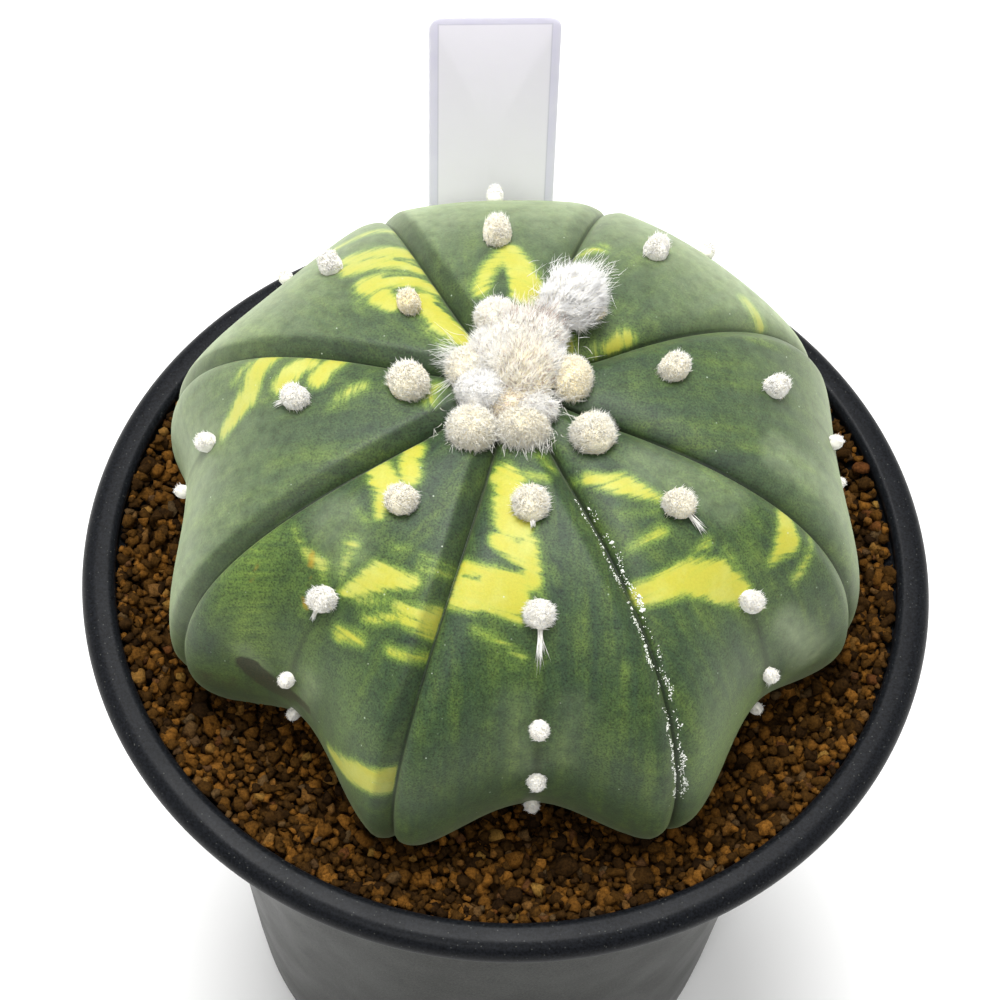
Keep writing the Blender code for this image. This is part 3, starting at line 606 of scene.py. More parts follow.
# Felt: rows and columns of the core, how uneven it is, then the hairs: width, how far they rise and lie
# over, shares of their length, bend, spread of tone, depth of their roots and size of a matted clump
felt = {
    "core": (15, 24),
    "poleGap": 0.12,
    "uneven": 0.12,
    "lumpSize": 0.8,
    "coreStrand": 0.6,
    "hairWidth": 0.045 * mm,
    "rise": (0.1, 0.9),
    "lie": 0.55,
    "lengths": (0.4, 1.1),
    "bend": 0.3,
    "toneSpread": 0.12,
    "brownTone": 1.4,
    "rootDepth": (0.88, 1.0),
    "clumpSize": 0.5,
}


# Felt pad: a lumpy ellipsoid, whose axes are the rows of a matrix, under hairs that lie along it.
# stand is how far the hairs rise, comb turns them all one way, some of them can be brown, and matted
# makes neighbours lean together
def feltShape(rng, centre, axes, count, length, tone, facing, stand=1.0, comb=(0, 0, 0), brown=0, matted=0):
    normal, limit = facing
    rows, columns = felt["core"]
    angle = np.linspace(felt["poleGap"], math.pi - felt["poleGap"], rows)
    unit = turnedPoints(np.stack([np.sin(angle), np.cos(angle)], -1), columns)
    grain = 1 - felt["uneven"] / 2 + felt["uneven"] * lumps(rng, unit, felt["lumpSize"], 16)[..., None]
    core = gridShape(centre + unit @ axes * grain, {"tone": np.full((rows, columns), tone),
                                                    "strand": np.full((rows, columns), felt["coreStrand"])})
    ways = normalized(rng.normal(size=(count * 3, 3)))
    ways = ways[ways @ normal > limit][:count]
    count = len(ways)
    level = normalized(np.cross(ways, rng.normal(size=(count, 3))))
    rise = rng.uniform(*felt["rise"], count)[:, None] * stand
    lean = np.stack([lumps(rng, ways, felt["clumpSize"]) for _ in range(3)], -1) * matted
    lie = felt["lie"] * (1 - 0.25 * matted)
    directions = normalized(ways * rise + level * lie + np.array(comb) + lean)
    lengths = length * rng.uniform(*felt["lengths"], count)
    bends = randomBends(rng, lengths, felt["bend"])
    tones = np.clip(tone + felt["toneSpread"] * rng.normal(size=count), 0, 1)
    tones = np.where(rng.uniform(0, 1, count) < brown, felt["brownTone"], tones)
    roots = centre + ways @ axes * rng.uniform(*felt["rootDepth"], count)[:, None]
    hairs = hairShape(rng, roots, directions, lengths, felt["hairWidth"], bends, tones, 1)
    return joinShapes([core, hairs])


# Areole wool: soft matt hair with a pale sheen, white at the tips and cream, ochre or brown at the roots
def woolMaterial():
    material, tree, shader = newMaterial("areoleWool", {
        "Roughness": 0.9, "Specular IOR Level": 0.2, "Sheen Weight": 1.0, "Sheen Roughness": 0.7})
    coords = addNode(tree, "TexCoord", output="Object")
    tone = addNode(tree, "Attribute", {"attribute_name": "tone"}, output="Fac")
    strand = addNode(tree, "Attribute", {"attribute_name": "strand"}, output="Fac")
    ramp = addNode(tree, "ValToRGB", {"stops": [
        (0.0, "#FFFEFD"), (0.25, "#FFF7DC"), (0.5, "#FAE6A6"), (0.75, "#DFCFBA"), (1.0, "#A4775E")]},
                   {0: tone})
    # Clumps of hair 0.4 mm across
    clump = addNode(tree, "TexNoise", {"Scale": 2.4 / mm, "Detail": 4.0, "Roughness": 0.7},
                    {"Vector": coords})
    shade = addNode(tree, "MapRange", {1: 0.3, 2: 0.55, 3: 0.96, 4: 1.0}, {0: clump})
    share = addNode(tree, "MapRange", {3: 0.94, 4: 1.0}, {0: strand})
    both = addNode(tree, "Math", {"operation": "MULTIPLY"}, {0: share, 1: shade})
    color = addNode(tree, "Mix", {"data_type": "RGBA", "blend_type": "MULTIPLY", 0: 1.0}, {6: ramp, 7: both})
    tree.links.new(color, shader.inputs["Base Color"])
    bump = addNode(tree, "Bump", {"Strength": 0.35, "Distance": 0.12 * mm}, {"Height": clump})
    tree.links.new(bump, shader.inputs["Normal"])
    return material


wool = woolMaterial()


# Tassel: nearly straight hairs that hang from the lower edge of a tuft
def tasselShape(rng, point, normal, down, radius, length):
    count, spread = tufts["tassel"]["hairs"], tufts["tassel"]["spread"]
    roots = point + down * radius * 0.8 + normal * radius * 0.35 + rng.normal(size=(count, 3)) * spread
    directions = normalized(down - normal * 0.18 + rng.normal(size=(count, 3)) * 0.09)
    lengths = length * mm * rng.uniform(0.6, 1.05, count)
    bends = randomBends(rng, lengths, 0.08)
    tones = np.full(count, tufts["tassel"]["tone"])
    return hairShape(rng, roots, directions, lengths, tufts["tassel"]["width"], bends, tones, 3)


# Each tuft is a felt ellipsoid on the middle line of its rib, its centre lifted along the normal
def makeTufts():
    rng = np.random.default_rng(11)
    tassels = {(rib, number): length for rib, number, length in tufts["tassels"]}
    for rib, name in enumerate(plant["ribs"]):
        for number, (place, radiusMm) in enumerate(tufts["places"][name], start=1):
            radius = radiusMm * mm
            point, normal, down = skinFrame(rib, 0.0, place)
            centre = point + normal * radius * tufts["lift"]
            hairCount = int(tufts["hairsPerArea"] * radiusMm ** 2)
            small = radiusMm < tufts["smallUnder"]
            length = tufts["shag"][small] + tufts["shagShare"] * radius
            axes = np.stack([np.cross(normal, down), down, normal]) * radius
            axes = axes * np.array(tufts["eggs"][small])[:, None]
            tone = tufts["cream"][1] if radiusMm > tufts["cream"][0] else tufts["white"]
            if (name, number) == tufts["ochre"][0]:
                tone = tufts["ochre"][1]
            facing = (normal, tufts["cover"])
            shape = feltShape(rng, centre, axes, hairCount, length, tone, facing, tufts["stand"])
            if (name, number) in tassels:
                tassel = tasselShape(rng, point, normal, down, radius, tassels[name, number])
                shape = joinShapes([shape, tassel])
            piece = addPiece(f"tuft_{name}_{number}", shape, wool)
            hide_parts(f"areole_{name}_{number}")


makeTufts()
print("tufts made")

# Crown: felt lobes by offset from the plant's axis and from the crown's height, and three radii, in mm,
# then hair count, hair length in mm, tone from 0 white over 0.5 ochre to 1 brown, comb, and brown share
crown = {
    "wool": [
        ((1.2, 1.6, 1.4), (3.8, 4.0, 2.9), 8000, 1.5, 0.36, (0.15, 0.7, 0.15), 0.2),
        ((0.7, 6.0, 1.7), (3.2, 2.7, 2.5), 4200, 1.3, 0.16, (0.1, 0.8, 0.5), 0.12),
        ((3.4, 5.9, 2.1), (1.9, 2.3, 2.2), 2600, 1.3, 0.12, (0.5, 0.6, 0.5), 0.12),
        ((3.4, 2.6, 1.5), (2.2, 2.8, 2.2), 2800, 1.1, 0.06, (0.1, 0.5, 0.1), 0.03),
        ((-2.3, 3.4, 1.1), (2.9, 3.2, 2.3), 3400, 1.3, 0.14, (-0.3, 0.3, 0.1), 0.05),
        ((-3.6, -1.8, 1.4), (2.7, 2.2, 2.1), 3400, 0.8, 0.04, (0.0, 0.0, 0.0), 0.0),
        # The low beige lobe below is painted shade under the front tufts
        ((0.2, -3.0, 0.5), (2.9, 2.1, 1.8), 2600, 0.9, 0.7, (0.0, -0.2, 0.0), 0.12),
        ((2.6, -3.3, 0.9), (2.5, 1.4, 1.6), 2200, 0.9, 0.08, (0.2, -0.4, 0.1), 0.03),
        ((8.6, 9.9, 2.0), (1.4, 1.2, 1.0), 500, 0.5, 0.6, (0.3, 0.0, 0.0), 0.0),
    ],
    "tufts": [
        ((-4.3, -6.4, 0.4), (2.6, 2.5, 2.5), 4600, 0.9, 0.3, (0.0, -0.1, 0.0), 0.0),
        ((1.4, -5.8, 0.5), (2.8, 2.2, 2.3), 4600, 1.0, 0.33, (0.0, -0.4, 0.0), 0.0),
        ((6.5, 1.0, 0.9), (2.2, 2.7, 2.3), 3400, 0.7, 0.42, (0.2, 0.0, 0.0), 0.0),
        ((-5.3, 1.5, 0.8), (2.3, 2.5, 2.1), 3000, 0.8, 0.3, (-0.3, 0.1, 0.0), 0.0),
        ((-2.5, 8.5, 1.3), (2.4, 2.2, 2.3), 3200, 0.7, 0.18, (0.0, 0.2, 0.1), 0.0),
    ],
    "bud": ((5.8, 10.1, 3.3), (3.8, 3.1), 10000, 1.7, 0.02),
    "budWay": (0.75, 0.5, 0.45),
    # How far round the hairs go, how far they stand and how much neighbours lean together
    "cover": {"lobes": -0.45, "bud": -0.8},
    "stand": {"lobes": 0.85, "bud": 0.8},
    "matted": {"wool": 1.5, "tufts": 0.5, "bud": 2.0},
    "looseWidth": 0.03 * mm,
    # Loose hairs: start, its spread, way, its jitter, least and most length, count and tone
    "loose": [
        ((0.6, 7.0, 3.0), (1.6, 0.5, 0.5), (0.12, 0.8, 0.65), 0.16, 1.5, 2.9, 200, 0.15),
        ((1.2, 6.6, 3.4), (1.9, 0.9, 0.5), (0.16, 0.8, 0.65), 0.14, 1.6, 2.8, 130, 1.6),
        ((3.6, 7.2, 3.6), (0.9, 0.9, 0.5), (0.6, 0.6, 0.5), 0.14, 1.4, 2.4, 110, 1.5),
        ((8.4, 12.4, 5.4), (0.9, 0.9, 0.7), (0.7, 0.6, 0.5), 0.3, 0.9, 1.6, 160, 0.05),
        ((5.8, 10.1, 4.7), (1.8, 1.8, 0.9), (0.6, 0.5, 0.5), 0.4, 1.0, 2.2, 320, 0.0),
        ((4.6, 12.2, 5.0), (0.9, 0.7, 0.5), (0.1, 0.8, 0.6), 0.25, 0.9, 1.9, 70, 0.05),
        ((1.6, -7.6, 0.4), (1.3, 0.3, 0.4), (0.15, -0.85, -0.4), 0.3, 0.8, 2.0, 90, 0.1),
        ((-4.6, -8.4, 0.2), (0.7, 0.2, 0.3), (-0.2, -0.85, -0.3), 0.25, 0.6, 1.4, 30, 0.1),
        ((-6.8, 2.6, 1.2), (0.5, 0.9, 0.5), (-0.9, 0.1, 0.1), 0.35, 1.2, 2.8, 110, 0.05),
        ((-6.9, -0.3, 0.9), (0.2, 0.6, 0.2), (-0.65, -0.7, -0.1), 0.12, 3.0, 4.6, 9, 0.05),
        ((8.2, 9.9, 2.4), (0.1, 0.1, 0.1), (0.95, -0.1, -0.1), 0.06, 1.6, 2.4, 2, 0.05),
        ((0.6, 1.6, 3.4), (2.4, 2.6, 0.5), (0.1, 0.4, 0.3), 0.8, 1.4, 3.0, 420, 0.2),
        ((-3.0, 0.4, 2.6), (1.6, 2.2, 0.6), (-0.4, -0.2, 0.3), 0.7, 1.2, 2.6, 260, 0.05),
        ((1.6, -3.0, 2.0), (1.8, 0.8, 0.4), (0.7, -0.3, 0.1), 0.6, 1.2, 2.6, 200, 0.1),
        ((-4.4, -7.2, 1.0), (1.5, 0.8, 0.8), (0.0, -0.7, 0.0), 0.6, 0.6, 1.3, 160, 0.15),
        ((1.4, -6.8, 1.0), (1.7, 0.8, 0.8), (0.0, -0.7, 0.0), 0.6, 0.7, 1.5, 160, 0.15),
    ],
}


# Place of an offset in mm from the plant's axis and from the crown's height
def crownPlace(offset):
    return plantAxis + np.array(offset) * mm + upward * plant["crownZ"]


# Lobe of the crown: a felt ellipsoid with its radii along X, Y and Z
def crownLobe(rng, kind, offset, radii, count, length, tone, comb, brown):
    facing, stand = (upward, crown["cover"]["lobes"]), crown["stand"]["lobes"]
    return feltShape(rng, crownPlace(offset), np.diag(radii) * mm, count, length * mm, tone, facing, stand,
                     comb, brown, crown["matted"][kind])


# Loose hairs: roots spread about a start, and directions shaken about one way
def looseShape(rng, start, spread, way, jitter, least, most, count, tone):
    roots = crownPlace(start) + rng.normal(size=(count, 3)) * np.array(spread) * mm
    directions = normalized(normalized(np.array(way)) + rng.normal(size=(count, 3)) * jitter)
    lengths = rng.uniform(least, most, count) * mm
    bends = randomBends(rng, lengths, jitter)
    return hairShape(rng, roots, directions, lengths, crown["looseWidth"], bends, np.full(count, tone), 5)


# Crown wool, the young tufts, and the bud as an ellipsoid that is long in its own way
def makeCrown():
    rng = np.random.default_rng(23)
    loose = [looseShape(rng, *hairs) for hairs in crown["loose"]]
    shape = joinShapes([crownLobe(rng, "wool", *lobe) for lobe in crown["wool"]] + loose)
    piece = addPiece("crown_fleece", shape, wool)
    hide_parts("crown_wool")
    for number, lobe in enumerate(crown["tufts"], start=1):
        piece = addPiece(f"crown_tuft_{number}", crownLobe(rng, "tufts", *lobe), wool)
        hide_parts(f"crown_areole_{number}")
    offset, (longRadius, radius), count, length, tone = crown["bud"]
    way = normalized(np.array(crown["budWay"]))
    axes = (np.eye(3) * radius + np.outer(way, way) * (longRadius - radius)) * mm
    facing = (normalized(way + upward), crown["cover"]["bud"])
    shape = feltShape(rng, crownPlace(offset), axes, count, length * mm, tone, facing, crown["stand"]["bud"],
                      way * 0.9, matted=crown["matted"]["bud"])
    piece = addPiece("bud_fleece", shape, wool)
    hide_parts("flower_bud")


makeCrown()
print("crown made")

# Pot: rolled rim, flared lip, long wall with a slight taper and a raised floor with drain holes
pot = {
    "height": 105.0 * mm,
    "steps": 224,
    "rimRadius": 52.8 * mm,
    "rimInnerRadius": 48.6 * mm,
    "rimHeight": 2.5 * mm,
    "rimRounds": (2.0 * mm, 1.0 * mm, 0.4 * mm),      # outer, inner and lower edge
    "wall": 1.0 * mm,
    "wallTop": 42.0 * mm,
    "wallTaper": 0.046,
    "lipFlare": 7.8 * mm,
    "lipDecay": 6.0 * mm,
    "footRadius": 37.2 * mm,
    "footRound": 1.2 * mm,
    "floor": 1.5 * mm,
    "floorShape": [(0.0, 0.0), (8, 0.0), (11, 2.5), (27, 2.5), (30, 0.0)],
    "drains": (8, 2.5 * mm, 19.0 * mm),               # count, radius and circle
}


# Outer radius of the pot at a depth below its top: a straight taper, plus a flare that dies away
def wallRadius(depth):
    belowRim = depth - pot["rimHeight"]
    flare = pot["lipFlare"] * np.exp(-belowRim / pot["lipDecay"])
    return pot["wallTop"] - pot["wallTaper"] * belowRim + flare


# Black polypropylene, injection moulded with a fine matt texture: the rim smooth and blue-black with a
# narrow soft sheen, the wall a lighter charcoal grey that paints the reflection of the bright floor, and
# dusty
def potMaterial():
    material, tree, shader = newMaterial("mattBlackPolypropylene", {
        "Roughness": 0.38, "IOR": 1.46, "Specular IOR Level": 0.1})
    coords = addNode(tree, "TexCoord", output="Object")
    onWall = addNode(tree, "Attribute", {"attribute_name": "wall"}, output="Fac")
    # Spark-eroded texture 0.25 mm, drawn as coarse as it shows
    grain = addNode(tree, "TexNoise", {"Scale": 3.5 / mm, "Detail": 3.0, "Roughness": 0.7},
                    {"Vector": coords})
    clouds = addNode(tree, "TexNoise", {"Scale": 0.12 / mm, "Detail": 4.0}, {"Vector": coords})
    # The wall gets a lighter base colour than the rim, a painted reflection of the bright floor
    rimTone = addNode(tree, "ValToRGB", {"stops": [(0.35, "#08090B"), (0.65, "#1A1C20")]}, {0: grain})
    wallReflectionTone = addNode(tree, "ValToRGB", {"stops": [(0.35, "#191A18"), (0.65, "#3C3D39")]}, {0: grain})
    tone = addNode(tree, "Mix", {"data_type": "RGBA"}, {0: onWall, 6: rimTone, 7: wallReflectionTone})
    cells = addNode(tree, "TexVoronoi", {"Scale": 1.5 / mm}, {"Vector": coords})
    speck = addNode(tree, "MapRange", {1: 0.06, 2: 0.14, 3: 0.25, 4: 0.0}, {0: cells})
    dusty = addNode(tree, "Mix", {"data_type": "RGBA", 7: linearColor("#85877F")}, {0: speck, 6: tone})
    tree.links.new(dusty, shader.inputs["Base Color"])
    rough = addNode(tree, "MapRange", {1: 0.3, 2: 0.7, 3: 0.32, 4: 0.42}, {0: clouds})
    tree.links.new(rough, shader.inputs["Roughness"])
    bump = addNode(tree, "Bump", {"Strength": 0.35, "Distance": 0.04 * mm}, {"Height": grain})
    tree.links.new(bump, shader.inputs["Normal"])
    return material


# Pot: a profile of floor, inside, rim, outside, foot and underside, turned round, less its drain holes
def makePot():
    top = pot["height"]
    outerRound, innerRound, lowerRound = pot["rimRounds"]
    depths = np.concatenate([np.linspace(2.5, 20, 20), np.linspace(24, 96, 12)]) * mm
    outer = [(wallRadius(depth), top - depth) for depth in depths]
    inner = [(radius - pot["wall"], height) for radius, height in reversed(outer)]
    ground = [(radius * mm, height * mm) for radius, height in pot["floorShape"]]
    foot = pot["footRadius"]
    profile = [(max(radius, 0.5 * mm), height + pot["floor"]) for radius, height in ground]
    profile += [(foot - pot["wall"], pot["floor"])] + inner
    profile += corner(pot["rimInnerRadius"] + innerRound, top - innerRound, innerRound, 180, 90, 8)
    profile += corner(pot["rimRadius"] - outerRound, top - outerRound, outerRound, 90, 0, 14)
    lowerZ = top - pot["rimHeight"] + lowerRound
    profile += corner(pot["rimRadius"] - lowerRound, lowerZ, lowerRound, 0, -90, 6)
    wallStart = len(profile)
    profile += outer
    profile += corner(foot - pot["footRound"], pot["footRound"], pot["footRound"], 0, -90, 6)
    profile += [(max(radius, 0.5 * mm), height) for radius, height in reversed(ground)]
    # The profile runs up the inside and down the outside, so its turned grid faces out
    # The wall attribute marks the outer wall, where the lighter base colour paints the floor's reflection
    onWall = np.arange(len(profile)) >= wallStart
    shape = gridShape(turnedPoints(profile, pot["steps"]),
                      {"wall": np.repeat(onWall[:, None].astype(float), pot["steps"], 1)})
    piece = addPiece("pot_shell", shape, potMaterial(), 35)
    count, radius, circle = pot["drains"]
    cutters = []
    for i in range(count):
        angle = 2 * math.pi * (i + 0.5) / count
        hole = turnedPoints([(radius, 8 * mm), (radius, -4 * mm)], 32)
        hole = hole + np.array([circle * math.cos(angle), circle * math.sin(angle), 0])
        cutters.append(gridShape(hole, {"wall": np.ones(hole.shape[:2])}))
    cutter = addPiece("drain_cutter", joinShapes(cutters), piece.data.materials[0])
    cut = piece.modifiers.new("drains", "BOOLEAN")
    cut.operation = "DIFFERENCE"
    cut.solver = "EXACT"
    cut.object = cutter
    graph = bpy.context.evaluated_depsgraph_get()
    piece.data = bpy.data.meshes.new_from_object(piece.evaluated_get(graph))
    piece.modifiers.clear()
    bpy.data.objects.remove(cutter)
    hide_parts("pot")


makePot()
print("pot made")

# Scurf: thin white flakes along both lips of the groove at the front right
scurf = {
    "lips": [(0, 1), (1, -1)],                        # rib, and its side at that groove
    "clusters": 44,
    "places": (0.13, 0.87),
    "offGroove": 0.42 * mm,
    "flakes": (3, 17),                                # least in a cluster, and one more than the most
    "flakeRadius": (0.04 * mm, 0.13 * mm),
    "bigFlakes": [(0.145, 0.3), (0.2, 0.25), (0.25, 0.28), (0.31, 0.32), (0.33, 0.3), (0.6, 0.2)],
}


# Copies of small base shapes, each turned at random, at the centres
def scatterShape(rng, centres, radii, variants, faces):
    chosen = variants[rng.integers(0, len(variants), len(centres))]
    turned = np.einsum("nij,nkj->nki", randomTurns(rng, len(centres)), chosen)
    points = centres[:, None] + turned * radii[:, None, None]
    start = (np.arange(len(centres)) * variants.shape[1])[:, None, None]
    return {"points": points.reshape(-1, 3), "faces": [(start + faces).reshape(-1, 3)], "values": {}}


# Flakes lie in clusters down both lips, at a distance off the groove that wanders in a slow wave
def makeScurf():
    rng = np.random.default_rng(53)
    base, faces = octahedron
    variants = np.stack([base * rng.uniform(0.5, 1.3, (6, 1)) * (1.4, 0.9, 0.5) for _ in range(8)])
    ribs, sides, places, radii = [], [], [], []
    big = np.array(scurf["bigFlakes"])
    for rib, side in scurf["lips"]:
        middles = rng.uniform(*scurf["places"], scurf["clusters"])
        counts = rng.integers(*scurf["flakes"], scurf["clusters"])
        place = np.repeat(middles, counts) + rng.normal(size=counts.sum()) * 0.01
        places += [place, big[:, 0] + rng.normal(size=len(big)) * 0.006]
        radii += [rng.uniform(*scurf["flakeRadius"], len(place)), big[:, 1] * mm]
        ribs.append(np.full(len(place) + len(big), rib))
        sides.append(np.full(len(place) + len(big), side))
    ribs, sides, places, radii = (np.concatenate(part) for part in (ribs, sides, places, radii))
    halfWidth = skinPoint(ribs, 0 * places, places)[1]
    wander = 0.3 * np.sin(places * 61 + ribs) + 0.28 * rng.normal(size=len(places))
    across = sides * (1 - scurf["offGroove"] * (1 + wander) / halfWidth)
    centres = skinPoint(ribs, across, places)[0]
    chalk = newMaterial("driedPlantScale", {
        "Base Color": linearColor("#E6E8E0"), "Roughness": 0.9, "Specular IOR Level": 0.2})[0]
    piece = addPiece("groove_scurf", scatterShape(rng, centres, radii, variants, faces), chalk, 10)


# Turns about random axes, one for each copy, from random unit quaternions
def randomTurns(rng, count):
    w, x, y, z = normalized(rng.normal(size=(count, 4))).T
    return np.stack([
        np.stack([1 - 2 * (y * y + z * z), 2 * (x * y - w * z), 2 * (x * z + w * y)], -1),
        np.stack([2 * (x * y + w * z), 1 - 2 * (x * x + z * z), 2 * (y * z - w * x)], -1),
        np.stack([2 * (x * z - w * y), 2 * (y * z + w * x), 1 - 2 * (x * x + y * y)], -1)], 1)


octahedron = (
    np.array([(1, 0, 0), (0, 1, 0), (-1, 0, 0), (0, -1, 0), (0, 0, 1), (0, 0, -1)], float),
    np.array([(4, 0, 1), (4, 1, 2), (4, 2, 3), (4, 3, 0), (5, 1, 0), (5, 2, 1), (5, 3, 2), (5, 0, 3)]))
makeScurf()
print("scurf made")

# Soil: baked clay granules on a bed of the same, tinted dark as painted shade in the gaps, from the floor of
# the pot to 3 mm under its top
soil = {
    "top": 102.0 * mm,
    "gap": 0.3 * mm,
    "bedDrop": 1.3 * mm,
    "spacing": 1.3 * mm,
    "layers": [(-1.1 * mm, 1.0), (-0.45 * mm, 0.95), (0.2 * mm, 0.55)],    # height and share kept
    "heap": (1.3 * mm, 45.5 * mm, 48.0 * mm),         # rise at the wall, and radii where it starts and ends
    "grainRadius": (0.42 * mm, 0.95 * mm),
    "smallBias": 1.6,                                 # power that favours small granules
    "big": (0.04, 1.35),                              # share of big ones, and how much larger they are
    "shake": (0.338 * mm, 0.22 * mm),                 # random shift along the bed and in height
    "shapes": 14,
    "uneven": 0.34,
    "stretch": (0.78, 1.22),
    "floorProfile": [(30, 2.0), (27, 4.3), (11, 4.3), (8, 4.3)],        # radius and height in mm
}


# Distance from the plant's axis, along an azimuth, to a circle about the pot's axis
def rayToCircle(azimuth, radius):
    along = plantAxis[0] * np.cos(azimuth) + plantAxis[1] * np.sin(azimuth)
    return -along + np.sqrt(along ** 2 - plantAxis @ plantAxis + radius ** 2)


# Rise of the soil near the wall
def heapAt(points):
    rise, start, end = soil["heap"]
    return rise * smoothStep(start, end, np.hypot(points[..., 0], points[..., 1]))


# Baked clay: dull orange-brown, porous and matt, with dark, grey and ochre granules among them
def soilMaterial(name, stops):
    material, tree, shader = newMaterial(name, {"Roughness": 0.95, "Specular IOR Level": 0.05})
    coords = addNode(tree, "TexCoord", output="Object")
    tint = addNode(tree, "Attribute", {"attribute_name": "tint"}, output="Fac")
    # Pores 0.15 to 0.4 mm
    pores = addNode(tree, "TexNoise", {"Scale": 2.6 / mm, "Detail": 5.0, "Roughness": 0.75},
                    {"Vector": coords})
    tone = addNode(tree, "ValToRGB", {"stops": stops}, {0: tint})
    shade = addNode(tree, "MapRange", {1: 0.32, 2: 0.68, 3: 0.33, 4: 1.36}, {0: pores})
    color = addNode(tree, "Mix", {"data_type": "RGBA", "blend_type": "MULTIPLY", 0: 1.0}, {6: tone, 7: shade})
    tree.links.new(color, shader.inputs["Base Color"])
    bump = addNode(tree, "Bump", {"Strength": 1.0, "Distance": 0.4 * mm}, {"Height": pores})
    tree.links.new(bump, shader.inputs["Normal"])
    return material


# Bed: the top runs out from the plant to the wall in soft lumps, then the wall, the floor and the root
# are followed round to close it, one loop for each column
def makeBed(material):
    rng = np.random.default_rng(31)
    azimuth, plantRadius = aroundPlant(soilRings[0])
    ways = np.stack([np.cos(azimuth), np.sin(azimuth), 0 * azimuth], -1)
    top = soil["top"] - soil["bedDrop"]
    neck = plantRadius + soil["gap"]
    loop = []
    edge = rayToCircle(azimuth, wallRadius(pot["height"] - top) - pot["wall"] - soil["gap"])
    for share in np.linspace(0, 1, 14):
        ring = plantAxis + ways * (neck + (edge - neck) * share)[:, None] + upward * top
        rise = lumps(rng, ring, 2.5 * mm) * 0.9 * mm * math.sin(math.pi * share) + heapAt(ring)
        loop.append(ring + upward * rise[:, None])
    for height in np.linspace(97, 2.0, 13) * mm:
        reach = rayToCircle(azimuth, wallRadius(pot["height"] - height) - pot["wall"] - soil["gap"])
        loop.append(plantAxis + ways * reach[:, None] + upward * height)
    for radius, height in soil["floorProfile"]:
        reach = rayToCircle(azimuth, radius * mm)
        loop.append(plantAxis + ways * reach[:, None] + upward * height * mm)
    tip = plant["neckZ"] - 40 * mm
    loop.append(plantAxis + ways * 2.0 * mm + upward * tip)
    for ring in rootRings[::-1]:
        loop.append(ring + ways * soil["gap"])
    loop.append(soilRings[1] + ways * soil["gap"])
    points = np.stack(loop)
    # The bed's low tint paints it dark, as shade between the granules
    shape = gridShape(points, {"tint": np.full(points.shape[:2], 0.2)}, wrapRows=True)
    piece = addPiece("soil_bed", shape, material)
    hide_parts("potting_soil")
    return azimuth, plantRadius


# A granule is an octahedron with each face cut in four, pushed to a ball and then made uneven
def granuleBase():
    points, faces = list(octahedron[0]), octahedron[1].tolist()
    middles = {}

    def middle(a, b):
        key = (min(a, b), max(a, b))
        if key not in middles:
            middles[key] = len(points)
            points.append(normalized(points[a] + points[b]))
        return middles[key]

    small = []
    for a, b, c in faces:
        ab, bc, ca = middle(a, b), middle(b, c), middle(c, a)
        small += [(a, ab, ca), (ab, b, bc), (ca, bc, c), (ab, bc, ca)]
    return np.array(points), np.array(small)


# Granules lie on shaken hexagonal layers between the plant and the wall
def makeGranules(azimuths, plantRadii, material):
    rng = np.random.default_rng(37)
    base, faces = granuleBase()
    variants = np.stack([base * (1 + soil["uneven"] * rng.normal(size=(len(base), 1)).clip(-1.3, 1.3))
                         * rng.uniform(*soil["stretch"], 3) for _ in range(soil["shapes"])])
    order = np.argsort(azimuths)
    centres, radii = [], []
    step, (shift, heightShift) = soil["spacing"], soil["shake"]
    bigShare, bigSize = soil["big"]
    for layer, (lift, kept) in enumerate(soil["layers"]):
        row, column = np.meshgrid(np.arange(-50, 51), np.arange(-50, 51), indexing="ij")
        x = (column + 0.5 * (row % 2) + 0.33 * layer) * step
        y = row * step * 0.866 + 0.3 * layer * step
        spot = np.stack([x.ravel(), y.ravel()], -1)
        spot = spot[np.hypot(spot[:, 0], spot[:, 1]) < pot["rimRadius"]]
        spot = spot + rng.normal(size=spot.shape) * shift
        low, high = soil["grainRadius"]
        radius = low + (high - low) * rng.uniform(0, 1, len(spot)) ** soil["smallBias"]
        radius = np.where(rng.uniform(0, 1, len(spot)) < bigShare, radius * bigSize, radius)
        # Those that would cross the wall at their height are pushed in against it
        out = np.hypot(spot[:, 0], spot[:, 1])
        height = soil["top"] + lift + heapAt(spot) + rng.normal(size=len(spot)) * heightShift
        wallAt = wallRadius(pot["height"] - height + 0.6 * radius) - pot["wall"]
        wallAt = np.minimum(wallAt, pot["rimInnerRadius"])
        inside = out < wallAt + 0.5 * step
        spot = spot * np.minimum((wallAt - 0.9 * radius) / np.maximum(out, mm), 1)[:, None]
        azimuth, offAxis = aroundPlant(spot)
        skinAt = np.interp(azimuth, azimuths[order], plantRadii[order], period=2 * math.pi)
        outside = offAxis > skinAt + radius * 0.5
        fits = inside & outside & (rng.uniform(0, 1, len(spot)) < kept)
        centres.append(np.column_stack([spot, height])[fits])
        radii.append(radius[fits])
    centres, radii = np.concatenate(centres), np.concatenate(radii)
    count = len(centres)
    half = count // 2
    for name, part in (("soil_granules_lower", slice(0, half)), ("soil_granules_upper", slice(half, count))):
        shape = scatterShape(rng, centres[part], radii[part], variants, faces)
        shape["values"]["tint"] = np.repeat(rng.uniform(0, 1, len(radii[part])), len(base))
        addPiece(name, shape, material)
    print("granules:", count)


clay = soilMaterial("bakedClayGranules", [
    (0.0, "#2A1C0E"), (0.25, "#402B12"), (0.5, "#563A17"), (0.72, "#704A1C"), (0.86, "#8A5C24"),
    (0.93, "#57462F"), (0.97, "#683E1E"), (1.0, "#987437")])
bedAzimuths, bedRadii = makeBed(clay)
makeGranules(bedAzimuths, bedRadii, clay)
print("soil made")

